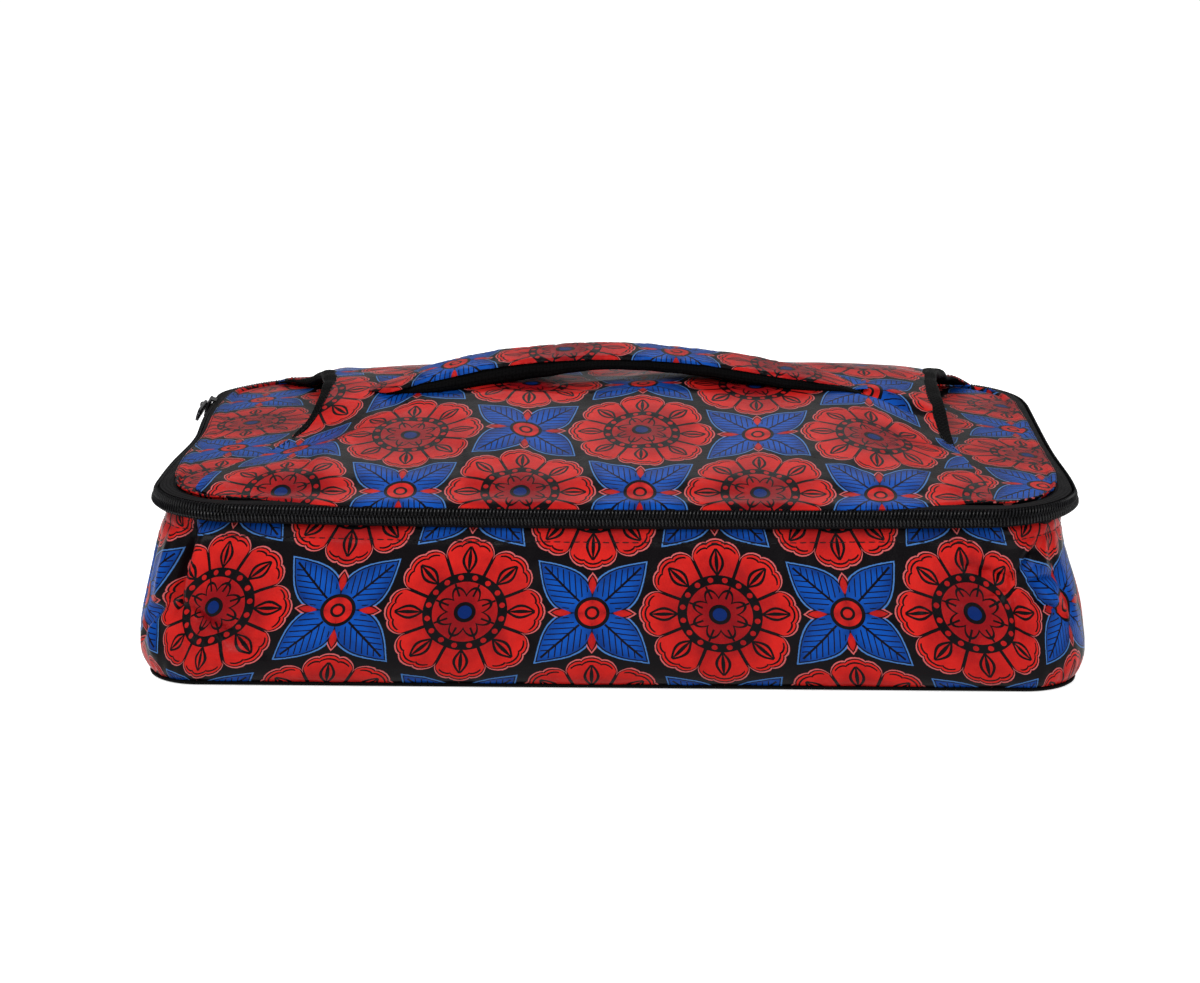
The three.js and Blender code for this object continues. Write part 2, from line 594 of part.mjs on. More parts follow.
// The outer plate is a shield, wide where the rows part and narrow where they come out meshed.
const shield = new THREE.Shape();
shield.moveTo(-plateHalf * 0.85, -SLIDER_LENGTH / 2);
shield.lineTo(plateHalf * 0.85, -SLIDER_LENGTH / 2);
shield.quadraticCurveTo(plateHalf, 0, plateHalf, SLIDER_LENGTH * 0.3);
shield.quadraticCurveTo(plateHalf * 0.5, SLIDER_LENGTH / 2, 0, SLIDER_LENGTH / 2);
shield.quadraticCurveTo(-plateHalf * 0.5, SLIDER_LENGTH / 2, -plateHalf, SLIDER_LENGTH * 0.3);
shield.quadraticCurveTo(-plateHalf, 0, -plateHalf * 0.85, -SLIDER_LENGTH / 2);
const outerPlate = new THREE.ExtrudeGeometry(shield, { depth: SLIDER_PLATE, bevelEnabled: false, curveSegments: 5 });
outerPlate.translate(0, 0, plateZ);

const flangeLength = SLIDER_LENGTH * 0.6;
const flangeDrop = ZIP_COIL_HEIGHT * 0.8;
const flangeZ = plateZ - flangeDrop / 2 + SLIDER_PLATE / 4;
const flange = (side) => block(
  SLIDER_FLANGE * 0.8, flangeLength, flangeDrop + SLIDER_PLATE / 2, side * (rowsHalf + SLIDER_FLANGE * 0.45), 0, flangeZ,
);
const postHeight = plateZ + SLIDER_PLATE / 2 - innerZ;
const post = block(SLIDER_POST, SLIDER_LENGTH * 0.25, postHeight, 0, SLIDER_LENGTH * 0.25, innerZ + postHeight / 2);
const innerPlate = block(2 * innerHalf, SLIDER_LENGTH * 0.8, SLIDER_PLATE, 0, 0, innerZ + SLIDER_PLATE / 2);
addPiece('slider_body', union([outerPlate, innerPlate, post, flange(-1), flange(1)]), BLACK_METAL, slider);

// The bail stands on the outer plate with the pull's bar turning under it.
const barReach = Math.hypot(PULL_BAR, PULL_THICKNESS) / 2;
const pullZ = plateTop + SLIDER_CLEAR / 2 + barReach;
const bailUnder = pullZ + barReach + SLIDER_CLEAR / 2;
const bail = new THREE.Shape();
bail.moveTo(-BAIL_LENGTH / 2, 0);
bail.lineTo(-BAIL_LENGTH / 2 + BAIL_WIRE, 0);
bail.lineTo(-BAIL_LENGTH / 2 + BAIL_WIRE, bailUnder - plateTop);
bail.lineTo(BAIL_LENGTH / 2 - BAIL_WIRE, bailUnder - plateTop);
bail.lineTo(BAIL_LENGTH / 2 - BAIL_WIRE, 0);
bail.lineTo(BAIL_LENGTH / 2, 0);
bail.lineTo(BAIL_LENGTH / 2, bailUnder - plateTop);
bail.quadraticCurveTo(BAIL_LENGTH / 2, bailUnder + BAIL_WIRE - plateTop, 0, bailUnder + BAIL_WIRE - plateTop);
bail.quadraticCurveTo(-BAIL_LENGTH / 2, bailUnder + BAIL_WIRE - plateTop, -BAIL_LENGTH / 2, bailUnder - plateTop);
const bailWidth = PULL_EYE_WIDTH - 3 * SLIDER_CLEAR;
const bailGeometry = new THREE.ExtrudeGeometry(bail, { depth: bailWidth, bevelEnabled: false, curveSegments: 5 });
bailGeometry.translate(0, 0, -bailWidth / 2);
bailGeometry.rotateX(Math.PI / 2).rotateZ(Math.PI / 2).translate(0, 0, plateTop + LAYER_GAP);
addPiece('slider_bail', bailGeometry, BLACK_METAL, slider);

// The pull lies forward along the zip, its eye round the bail.
const pull = new THREE.Shape();
const pullHalf = PULL_WIDTH / 2;
const pullStart = PULL_BAR / 2;
pull.moveTo(-pullHalf * 0.8, pullStart);
pull.lineTo(pullHalf * 0.8, pullStart);
pull.lineTo(pullHalf, pullStart - PULL_LENGTH + pullHalf);
pull.absarc(0, pullStart - PULL_LENGTH + pullHalf, pullHalf, 0, -Math.PI, true);
const eye = new THREE.Path();
eye.moveTo(-PULL_EYE_WIDTH / 2, -PULL_BAR / 2);
eye.lineTo(-PULL_EYE_WIDTH / 2, -PULL_BAR / 2 - PULL_EYE_LENGTH);
eye.lineTo(PULL_EYE_WIDTH / 2, -PULL_BAR / 2 - PULL_EYE_LENGTH);
eye.lineTo(PULL_EYE_WIDTH / 2, -PULL_BAR / 2);
pull.holes.push(eye);
const pullGeometry = new THREE.ExtrudeGeometry(pull, { depth: PULL_THICKNESS, bevelEnabled: false, curveSegments: 6 });
pullGeometry.translate(0, 0, pullZ - PULL_THICKNESS / 2);
addPiece('pull_tab', pullGeometry, BLACK_METAL, slider);

export default bag;
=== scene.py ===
from functools import partialmethod

import bpy
import numpy as np
from mathutils import Matrix


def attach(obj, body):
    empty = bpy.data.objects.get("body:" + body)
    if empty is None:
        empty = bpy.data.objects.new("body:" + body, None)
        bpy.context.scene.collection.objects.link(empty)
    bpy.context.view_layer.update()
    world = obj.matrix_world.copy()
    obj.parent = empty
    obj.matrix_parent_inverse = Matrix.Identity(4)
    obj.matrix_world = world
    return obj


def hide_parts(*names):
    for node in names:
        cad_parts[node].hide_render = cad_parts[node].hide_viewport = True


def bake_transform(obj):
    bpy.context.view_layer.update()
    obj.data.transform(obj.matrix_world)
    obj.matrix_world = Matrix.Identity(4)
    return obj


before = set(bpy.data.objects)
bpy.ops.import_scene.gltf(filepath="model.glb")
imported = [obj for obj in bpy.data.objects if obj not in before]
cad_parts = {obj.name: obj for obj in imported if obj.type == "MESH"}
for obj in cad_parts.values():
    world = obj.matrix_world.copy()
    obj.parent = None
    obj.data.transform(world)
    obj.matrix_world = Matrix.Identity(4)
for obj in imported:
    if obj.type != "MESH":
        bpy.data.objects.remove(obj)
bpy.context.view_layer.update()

MM = 0.001
UP = np.array([0.0, 0.0, 1.0])
SHARP_EDGE = np.radians(48)  # faces that meet at more than this are shaded with an edge

# Sizes of the CAD model, in millimetres
RIM = (192.0, 125.0, 40.0)  # half width, half depth and corner radius over the closed zip
BASE = (198.0, 128.0, 28.0)  # the same where the wall's foot stands out
WALL_TOP = 68.0
FOOT_HEIGHT, FOOT_DRAW_IN = 16.0, 10.0
SIDE_BULGE, FRONT_BULGE, BACK_BULGE, CORNER_BULGE_SHARE = 5.0, 2.6, 1.6, 0.6
SEAM_INSET, SEAM_FRONT_INSET = 6.5, 4.0
LID_INSET, LID_FRONT_INSET = 11.5, 7.0
LID_EDGE_Z, LID_CROWN = WALL_TOP + 11.5, 8.5
LID_HALF = (RIM[0] - LID_INSET, RIM[1] - LID_INSET)
LID_CORNER = RIM[2] - LID_INSET
ZIP_Z, ZIP_IN, ZIP_TILT = WALL_TOP + 5.6, 2.378, np.radians(18)
YOKE_WAIST = LID_HALF[0] - 46.5
YOKE_LENGTH, YOKE_LIFT = LID_HALF[1] - 1.2, 12.2
YOKE_SEAT, YOKE_THICKNESS = 0.9, 2.3
SLIDER_Y = 70.0

# How the soft bag stands, in millimetres
FRONT_SAG, RIGHT_PINCH, PINCH_Z = 1.2, 3.6, 52
LEFT_BOW, LEFT_BACK_OUT = 3.2, 5.0
RIGHT_BOW, RIGHT_BACK_IN = 2.4, 3.4


# Numbers

def smooth(x, low, high):
    t = np.clip((np.asarray(x, float) - low) / (high - low), 0, 1)
    return t * t * (3 - 2 * t)


def through(t, knots):
    """A smooth curve through knots of (place, value)."""
    place, value = np.asarray(knots, float).T
    slope = np.gradient(value, place)
    k = np.clip(np.searchsorted(place, t) - 1, 0, len(place) - 2)
    step = place[k + 1] - place[k]
    s = np.clip((t - place[k]) / step, 0, 1)
    rise = s * s * (3 - 2 * s)
    bend = s * (1 - s) * ((1 - s) * slope[k] - s * slope[k + 1])
    return value[k] + (value[k + 1] - value[k]) * rise + step * bend


def bump(x, centre, width):
    return np.exp(-((np.asarray(x, float) - centre) / width) ** 2)


def ripple(u, v, scale, seed, waves=7):
    """Smooth seeded unevenness, mostly between -1 and 1; scale is its size in millimetres."""
    rng = np.random.default_rng(seed)
    total = np.zeros(np.broadcast(u, v).shape)
    for _ in range(waves):
        angle, phase = rng.uniform(0, 2 * np.pi, 2)
        k = 2 * np.pi / (scale * rng.uniform(0.7, 1.5))
        total += np.sin(k * (np.cos(angle) * u + np.sin(angle) * v) + phase)
    return total / np.sqrt(waves)


def crease(u, v, start, end, width):
    """1 on the line from start to end, falling off beside it and towards its ends."""
    start, end = np.array(start, float), np.array(end, float)
    length = np.linalg.norm(end - start)
    along = (end - start) / length
    s = (u - start[0]) * along[0] + (v - start[1]) * along[1]
    d = (v - start[1]) * along[0] - (u - start[0]) * along[1]
    fade = np.clip(np.sin(np.pi * np.clip(s / length, 0, 1)), 0, 1) ** 0.6
    return fade * np.exp(-(d / width) ** 2)


def turns(count):
    """Angles in even steps round a full turn."""
    return 2 * np.pi * np.arange(count) / count


def oval_power(angle, power):
    """Cosine and sine of an angle, squared off by a power below 1."""
    c, s = np.cos(angle), np.sin(angle)
    return np.sign(c) * np.abs(c) ** power, np.sign(s) * np.abs(s) ** power


def unit(vectors):
    return vectors / np.linalg.norm(vectors, axis=-1, keepdims=True)


def distances(points, closed):
    """Distance along a row of points, with one more for the way back where the row is closed."""
    ring = np.vstack([points, points[:1]]) if closed else points
    return np.concatenate([[0], np.cumsum(np.linalg.norm(np.diff(ring, axis=0), axis=1))])


def at_height(plan, z):
    """Points of a plan at a height, or each at its own."""
    return np.column_stack([plan, np.broadcast_to(z, len(plan))])


# Meshes

def as_it_stands(points):
    """The soft bag's own stance: a rim that sags and bows a little, and a right wall pinched below it."""
    x, y, z = np.asarray(points, float).T
    middle = np.clip(1 - (x / 172) ** 2, 0, 1)
    sag = FRONT_SAG * middle * smooth(-y, 30, 122) * smooth(z, 15, 66)
    left = (LEFT_BOW * bump(y, -5, 35) + LEFT_BACK_OUT * smooth(y, 84, 114)) * smooth(-x, 110, 190)
    right = (RIGHT_BOW * bump(y, -75, 40) - RIGHT_BACK_IN * smooth(y, 70, 112)) * smooth(x, 110, 190)
    pinch = RIGHT_PINCH * bump(z, PINCH_Z, 17) * smooth(x, 120, 190)
    return np.column_stack([x + (left + right) * smooth(z, 20, 66) - pinch, y, z - sag])


def is_inside_out(points, faces):
    """Whether the faces of a closed mesh look inwards, told by the sign of its volume."""
    fans = np.array([(f[0], f[k], f[k + 1]) for f in faces for k in range(1, len(f) - 1)])
    a, b, c = points[fans].transpose(1, 0, 2)
    return np.sum(a * np.cross(b, c)) < 0


def mesh_piece(name, points, faces, uvs, stuff, body, replaces=""):
    """A closed mesh; points in millimetres, uvs in metres for each corner of each face.
    stuff is a material with its slot, which is not used; replaces holds the names of the CAD's nodes that it
    stands for;
    a piece with no body is left to be blended."""
    points = as_it_stands(points)
    if is_inside_out(points, faces):
        faces = [f[::-1] for f in faces]
        uvs = [c[::-1] for c in uvs]
    mesh = bpy.data.meshes.new(name)
    mesh.from_pydata((points * MM).tolist(), [], faces)
    layer = mesh.uv_layers.new(name="print")
    layer.data.foreach_set("uv", np.concatenate([np.asarray(c, np.float32) for c in uvs]).ravel())
    mesh.polygons.foreach_set("use_smooth", [True] * len(mesh.polygons))
    mesh.set_sharp_from_angle(angle=SHARP_EDGE)
    material, slot = stuff
    mesh.materials.append(material)
    piece = bpy.data.objects.new(name, mesh)
    bpy.context.scene.collection.objects.link(piece)
    if replaces:
        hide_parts(*replaces.split())
    if body:
        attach(piece, body)
    return piece


def grid_faces(rows, cols, loop_rows, loop_cols):
    """Row and column numbers of the corners of each quad; in a loop they run on past the last."""
    i = np.arange(rows if loop_rows else rows - 1)
    j = np.arange(cols if loop_cols else cols - 1)
    i, j = np.meshgrid(i, j, indexing="ij")
    return i.reshape(-1, 1) + np.array([0, 1, 1, 0]), j.reshape(-1, 1) + np.array([0, 0, 1, 1])


def tube_faces(rows, cols):
    """Faces of rows of closed sections, with one at each end."""
    i, j = grid_faces(rows, cols, False, True)
    ends = [list(range(cols)), list(range(rows * cols - 1, (rows - 1) * cols - 1, -1))]
    return (i * cols + j % cols).tolist() + ends


def grid_piece(name, points, u, v, stuff, body, replaces, loop):
    """Rows of closed sections, joined into a loop or closed at both ends; u and v lie over the grid."""
    rows, cols = points.shape[:2]
    i, j = grid_faces(rows, cols, loop, True)
    faces = ((i % rows) * cols + j % cols).tolist() if loop else tube_faces(rows, cols)
    uvs = list(np.stack([u[i, j], v[i, j]], axis=2))
    if not loop:
        uvs.append(np.column_stack([u[0, :cols], v[0, :cols]]))
        uvs.append(np.column_stack([u[-1, :cols], v[-1, :cols]])[::-1])
    return mesh_piece(name, points.reshape(-1, 3), faces, uvs, stuff, body, replaces)


def swept_piece(name, sections, stuff, body, replaces="", loop=False):
    """Sections carried along a path, with the surface map measured along and round it."""
    along = distances(sections.mean(axis=1), loop) * MM
    about = distances(sections[len(sections) // 2], True) * MM
    u, v = np.meshgrid(along, about, indexing="ij")
    return grid_piece(name, sections, u, v, stuff, body, replaces, loop)


def plan_piece(name, sections, stuff, body, replaces):
    """Rows of closed sections with the surface map seen from above, as for cloth that is cut flat."""
    sections = np.asarray(sections, float)
    closed = np.concatenate([sections, sections[:, :1]], axis=1) * MM
    return grid_piece(name, sections, closed[:, :, 0], closed[:, :, 1], stuff, body, replaces, False)


def joined(parts):
    """Points and faces of several closed bodies as one."""
    points, faces, start = [], [], 0
    for p, f in parts:
        points.append(p)
        faces += [[k + start for k in face] for face in f]
        start += len(p)
    return np.concatenate(points), faces


def settled(points, held, pressure, slack, cap, bending=0.6, loop=False):
    """A grid of cloth with some slack, pressed from behind by its padding, until it finds its wrinkles.
    held is 1 for a held point and 0 for a free one; no point moves further than cap."""
    rows, cols = points.shape[:2]
    i, j = grid_faces(rows, cols, loop, False)
    held = np.round(np.broadcast_to(held, (rows, cols)), 2)
    mesh = bpy.data.meshes.new("skin")
    mesh.from_pydata((points.reshape(-1, 3) * MM).tolist(), [], ((i % rows) * cols + j).tolist())
    skin = bpy.data.objects.new("skin", mesh)
    scene = bpy.context.scene
    scene.collection.objects.link(skin)
    group = skin.vertex_groups.new(name="held")
    for level in np.unique(held):
        if level > 0:
            group.add(np.flatnonzero(held.ravel() == level).tolist(), float(level), "REPLACE")
    frames = 14
    cloth = skin.modifiers.new("cloth", "CLOTH")
    cloth.point_cache.frame_start, cloth.point_cache.frame_end = 1, frames
    settings = {"quality": 4, "mass": 0.2, "bending_stiffness": bending, "vertex_group_mass": "held",
                "use_pressure": True, "uniform_pressure_force": pressure, "shrink_min": -slack}
    for name, value in settings.items():
        setattr(cloth.settings, name, value)
    cloth.settings.effector_weights.gravity = 0.0
    cloth.collision_settings.use_collision = False
    for step in range(1, frames + 1):
        scene.frame_set(step)
    shown = skin.evaluated_get(bpy.context.evaluated_depsgraph_get())
    found = np.empty(len(shown.data.vertices) * 3)
    shown.data.vertices.foreach_get("co", found)
    move = found.reshape(points.shape) / MM - points
    reach = np.linalg.norm(move, axis=-1, keepdims=True)
    bpy.data.objects.remove(skin)
    scene.frame_set(1)
    return points + move * np.minimum(1, cap / np.maximum(reach, 1e-6)) * (1 - held[..., None])


# Shader nodes written as sums

def put(socket, value):
    """Sets an input to a number or a colour, or links it to a term or an output."""
    if isinstance(value, Term):
        value = value.socket
    if isinstance(value, bpy.types.NodeSocket):
        socket.id_data.links.new(value, socket)
    else:
        socket.default_value = (*value, 1.0) if isinstance(value, tuple) else value


def new_node(tree, kind, inputs, **settings):
    """Outputs of a new node, with its inputs by name or number and its own settings."""
    node = tree.nodes.new("ShaderNode" + kind)
    for name, value in settings.items():
        setattr(node, name, value)
    for key, value in inputs.items():
        put(node.inputs[key], value)
    return node.outputs


class Term:
    """A value in a node tree; adding, multiplying or comparing it makes Math nodes."""

    def __init__(self, socket):
        self.socket, self.tree = socket, socket.id_data

    def make(self, operation, *others):
        return Term(new_node(self.tree, "Math", dict(enumerate((self, *others))), operation=operation)[0])

    __add__ = __radd__ = partialmethod(make, "ADD")
    __mul__ = __rmul__ = partialmethod(make, "MULTIPLY")
    __sub__ = partialmethod(make, "SUBTRACT")
    __abs__ = partialmethod(make, "ABSOLUTE")
    floor = partialmethod(make, "FLOOR")
    mod = partialmethod(make, "FLOORED_MODULO")
    power = partialmethod(make, "POWER")
    sqrt = partialmethod(make, "SQRT")
    sin = partialmethod(make, "SINE")
    cos = partialmethod(make, "COSINE")
    turn = partialmethod(make, "ARCTAN2")
    below = partialmethod(make, "LESS_THAN")
    above = partialmethod(make, "GREATER_THAN")
    least = partialmethod(make, "MINIMUM")
    most = partialmethod(make, "MAXIMUM")

    def __neg__(self):
        return self * -1.0

    def __rsub__(self, other):
        return -self + other

    def within(self, low, high):
        return self.above(low) * self.below(high)

    def ramp(self, low, high):
        """0 below low, 1 above high, and smooth between them."""
        ends = {"Value": self, "From Min": low, "From Max": high}
        return Term(new_node(self.tree, "MapRange", ends, interpolation_type="SMOOTHSTEP")["Result"])


def radius(x, y):
    return (x * x + y * y).sqrt()


def pick(a, b, share):
    """a where share is 0, b where it is 1."""
    return a + (b - a) * share


def any_of(first, *others):
    """1 where any of the marks is 1."""
    for mark in others:
        first = first.most(mark)
    return first


def mix_colour(share, a, b):
    """Colour a where share is 0, b where it is 1; both are triples or outputs."""
    factor, colour_a, colour_b, result = 0, 6, 7, 2  # places of the Mix node's sockets for colours
    return new_node(share.tree, "Mix", {factor: share, colour_a: a, colour_b: b}, data_type="RGBA")[result]


def new_material(name):
    material = bpy.data.materials.new(name)
    material.use_nodes = True
    return material, material.node_tree


def surface_map(tree):
    """Place on the cloth in metres, along and across, and both as one vector."""
    place = new_node(tree, "UVMap", {}, uv_map="print")["UV"]
    split = new_node(tree, "SeparateXYZ", {0: place})
    return Term(split["X"]), Term(split["Y"]), place


def noise(tree, scale, detail, roughness, vector=None):
    """Noise in the object's own space, or over a given vector, about 0 to 1."""
    if vector is None:
        vector = new_node(tree, "TexCoord", {})["Object"]
    inputs = {"Vector": vector, "Scale": scale, "Detail": detail, "Roughness": roughness}
    return Term(new_node(tree, "TexNoise", inputs)["Fac"])


def weave(u, v, pitch):
    """Plain weave: rounded threads that pass over and under, 0 to 1."""
    k = np.pi / pitch
    is_warp = ((u * k).sin() * (v * k).sin()).above(0.0)
    return pick(abs((u * k).cos()), abs((v * k).cos()), is_warp)


def dressed(material, slot, colour, relief, settings):
    """A material with its colour, its relief of height, distance and strength, and settings by name;
    it comes with its slot."""
    tree = material.node_tree
    normal = new_node(tree, "Bump", dict(zip(("Height", "Distance", "Strength"), relief)))["Normal"]
    for name, value in {"Base Color": colour, "Normal": normal, **settings}.items():
        put(tree.nodes["Principled BSDF"].inputs[name], value)
    return material, slot


# Materials, each with its slot

RED_DEEP, RED_BRIGHT, RED_PALE = (0.20, 0.004, 0.007), (0.58, 0.015, 0.011), (0.52, 0.10, 0.10)
BLUE_DEEP, BLUE_BRIGHT, BLUE_PALE = (0.0015, 0.016, 0.11), (0.003, 0.068, 0.37), (0.05, 0.16, 0.42)
GROUND = (0.0026, 0.0018, 0.0026)
REPEAT = 0.098  # metres from one rosette to the next along a row; rows are half that apart
PETAL_ROOT, DROP_END, BEADS, STAR, EYE = 0.235, 0.39, 0.208, 0.098, 0.050  # radii, as shares of the repeat
LEAF, BUD_START, BUD_END, DISC, DISC_RIM = 0.44, 0.095, 0.245, 0.078, 0.088


def rosette(r, th):
    """Distance outside a medallion of eight lobed petals, and the dark lines in it."""
    petal, side = abs((th * 4.0).cos()), abs((th * 4.0).sin())
    edge = r - petal.sqrt() * 0.085 - abs((th * 12.0).cos()).sqrt() * 0.016 - 0.345
    from_cleft, beside = petal * r * 0.25, side * r * 0.25
    clefts = from_cleft.below(0.0095) * r.above(PETAL_ROOT)
    drop = ((r - PETAL_ROOT) * (np.pi / (DROP_END - PETAL_ROOT))).sin()
    drops = abs(beside - drop * 0.034).below(0.0075).most((drop * 0.011 - beside).above(0.0))
    drops = drops * r.within(PETAL_ROOT, DROP_END)
    inner = abs(edge + 0.034).below(0.0055) * petal.above(0.35)
    turn = (th * (8 / np.pi)).mod(1.0) - 0.5
    bead = (turn * turn * 0.0062 + (r - BEADS) * (r - BEADS)).sqrt()
    band = abs(r - BEADS).below(0.027) * bead.above(0.0155)
    star = abs(r - side * 0.055 - STAR).below(0.0085)
    rays = from_cleft.below(0.006) * r.within(0.10, 0.18)
    eye = abs(r - EYE).below(0.011)
    return edge, any_of(clefts, drops, inner, band, star, rays, eye)


def floret(x, y):
    """Distance outside four veined leaves round a small disc, the dark lines in them, and what is red."""
    long, across = abs(x).most(abs(y)), abs(x).least(abs(y))
    width = ((long * (1 / LEAF)).power(0.8) * np.pi).sin() * 0.125
    leaf = (across - width).most(long - LEAF)
    vein = across.below(0.0065) * long.within(0.1, 0.39)
    barbs = abs((long - across * 1.2).mod(0.05) - 0.025).below(0.0052) * long.within(0.11, 0.37)
    barbs = barbs * (width - across).above(0.024)
    diagonal, beside = (long + across) * 0.7071, (long - across) * 0.7071
    bud = beside - ((diagonal - BUD_START) * (np.pi / (BUD_END - BUD_START))).sin() * 0.036
    bud = bud.most(diagonal - BUD_END).most(BUD_START - diagonal)
    r = radius(x, y)
    ring = abs(r - DISC_RIM).below(0.010).most(abs(r - 0.034).below(0.008))
    is_red = r.below(DISC_RIM).most(bud.below(leaf))
    return leaf.least(r - DISC).least(bud), any_of(vein, barbs, ring), is_red


def printed_cloth(name, shift):
    """Coated cotton with rosettes set diagonally and four-leaved florets between them, on black."""
    material, tree = new_material(name)
    u, v, uv = surface_map(tree)
    a, b = (u - shift[0]) * (1 / REPEAT), (v - shift[1]) * (1 / REPEAT)
    p, q = a + b, a - b
    x, y = p - (p + 0.5).floor(), q - (q + 0.5).floor()
    r = radius(x, y)
    big, big_lines = rosette(r, y.turn(x))
    small, small_lines, is_red = floret(p - p.floor() - 0.5, q - q.floor() - 0.5)
    is_small = small.below(big)
    edge = big.least(small) + (noise(tree, 900.0, 2.0, 0.5, uv) - 0.5) * 0.006 + 0.008
    lines = pick(big_lines, small_lines, is_small)
    is_blue = pick(r.below(EYE), 1.0 - is_red, is_small)

    wear = noise(tree, 70.0, 4.0, 0.6)
    tone = pick(r * 1.7, edge * -4.5 + 0.35, is_small) + (wear - 0.5) * 0.9 - 0.05
    tone = tone.ramp(0.0, 0.8)
    red, blue = mix_colour(tone, RED_DEEP, RED_BRIGHT), mix_colour(tone, BLUE_DEEP, BLUE_BRIGHT)
    fill = mix_colour(is_blue, red, blue)
    colour = mix_colour(edge.ramp(0.008, 0.011), mix_colour(is_blue, RED_PALE, BLUE_PALE), GROUND)
    colour = mix_colour((-edge).ramp(-0.002, 0.001), colour, GROUND)
    colour = mix_colour((-edge).ramp(0.006, 0.010), colour, fill)
    colour = mix_colour(lines * (-edge).ramp(0.003, 0.006), colour, GROUND)

    scuff, crumple = noise(tree, 240.0, 4.0, 0.6), noise(tree, 45.0, 4.0, 0.55)
    return dressed(material, "print_cloth", colour, (crumple + weave(u, v, 0.0007) * 0.03, 0.0022, 0.5),
                   {"Roughness": scuff * 0.18 + 0.26, "Specular IOR Level": 0.055,
                    "Coat Weight": 0.025, "Coat Roughness": 0.12})


def black_cloth(name, pitch, base, rough):
    """Black woven tape or lining cloth with a little fading."""
    material, tree = new_material(name)
    u, v, _ = surface_map(tree)
    threads = weave(u, v, pitch)
    fade = noise(tree, 60.0, 4.0, 0.6)
    share = (threads * 0.5 + (fade - 0.5) * 0.8 + 0.1).ramp(0.0, 1.0)
    colour = mix_colour(share, (base * 0.4,) * 3, (base * 1.7, base * 1.6, base * 1.75))
    return dressed(material, "black_tape", colour, (threads * 0.6 + fade * 0.5, 0.0005, 0.8),
                   {"Roughness": rough, "Specular IOR Level": 0.035})


def ribbed_tape(name):
    """Zip tape: fine ribs along it and rows of weft across."""
    material, tree = new_material(name)
    u, v, _ = surface_map(tree)
    ribs = abs((v * (np.pi / 0.0009)).sin())
    rows = abs((u * (np.pi / 0.0006)).sin())
    fade = noise(tree, 80.0, 4.0, 0.6)
    share = (ribs * 0.5 + rows * 0.25 + (fade - 0.5) * 0.7).ramp(0.0, 1.0)
    colour = mix_colour(share, (0.0014, 0.0014, 0.0017), (0.0065, 0.006, 0.007))
    return dressed(material, "black_tape", colour, (ribs + rows * 0.4, 0.0003, 0.8),
                   {"Roughness": 0.6, "Specular IOR Level": 0.05})


def foil_laminate(name):
    """Silver foil on foam, crinkled and pressed with a small diamond quilting."""
    material, tree = new_material(name)
    u, v, _ = surface_map(tree)
    crinkle = noise(tree, 70.0, 6.0, 0.65)
    k = np.pi / 0.014
    quilt = abs(((u + v) * k).sin()).least(abs(((u - v) * k).sin())).ramp(0.0, 0.4)
    colour = mix_colour(crinkle.ramp(0.3, 0.7), (0.40, 0.41, 0.43), (0.70, 0.71, 0.73))
    return dressed(material, "foil_lining", colour, (crinkle * 0.8 + quilt * 0.6, 0.0014, 0.6),
                   {"Roughness": crinkle * 0.3 + 0.2, "Metallic": 0.75})


def nylon(name):
    material, tree = new_material(name)
    scuff = noise(tree, 400.0, 3.0, 0.6)
    colour = mix_colour(scuff.ramp(0.35, 0.75), (0.0015, 0.0015, 0.0018), (0.007, 0.007, 0.0085))
    return dressed(material, "zip_coil", colour, (scuff, 0.0001, 0.4),
                   {"Roughness": scuff * 0.2 + 0.22, "Specular IOR Level": 0.2})


def lacquered_metal(name):
    material, tree = new_material(name)
    wear = noise(tree, 260.0, 5.0, 0.65)
    colour = mix_colour(wear.ramp(0.58, 0.74), (0.012, 0.012, 0.014), (0.20, 0.20, 0.21))
    return dressed(material, "zip_metal", colour, (wear, 0.0001, 0.35),
                   {"Roughness": wear * 0.3 + 0.16, "Metallic": 0.7})


def sewing_thread(name):
    material, tree = new_material(name)
    twist = noise(tree, 1500.0, 2.0, 0.5)
    colour = mix_colour(twist, (0.002, 0.002, 0.0024), (0.010, 0.009, 0.011))
    return dressed(material, "black_tape", colour, (twist, 0.0001, 0.5),
                   {"Roughness": 0.55, "Specular IOR Level": 0.15})


PRINT_WALL = printed_cloth("print_wall", (0.0, 0.034))
PRINT_TOP = printed_cloth("print_top", (0.012, -0.062))
PRINT_LID = printed_cloth("print_lid", (0.030, 0.010))
PRINT_HANDLE = printed_cloth("print_handle", (-0.007, 0.020))
TAPE = ribbed_tape("zip_tape")
BINDING = black_cloth("binding", 0.0012, 0.0018, 0.65)
PAD = black_cloth("handle_pad", 0.0015, 0.002, 0.75)
COIL = nylon("zip_coil")
METAL = lacquered_metal("zip_metal")
FOIL = foil_laminate("foil_lining")
THREAD = sewing_thread("dark_thread")


# Plan outlines, from the hinge's left end round the left, front and right sides and back along the hinge

CORNER, LONG, SHORT = 36, 120, 70  # steps round a corner and along the sides
LEFT_SIDE, FRONT_SIDE, RIGHT_SIDE = 0, 1, 2


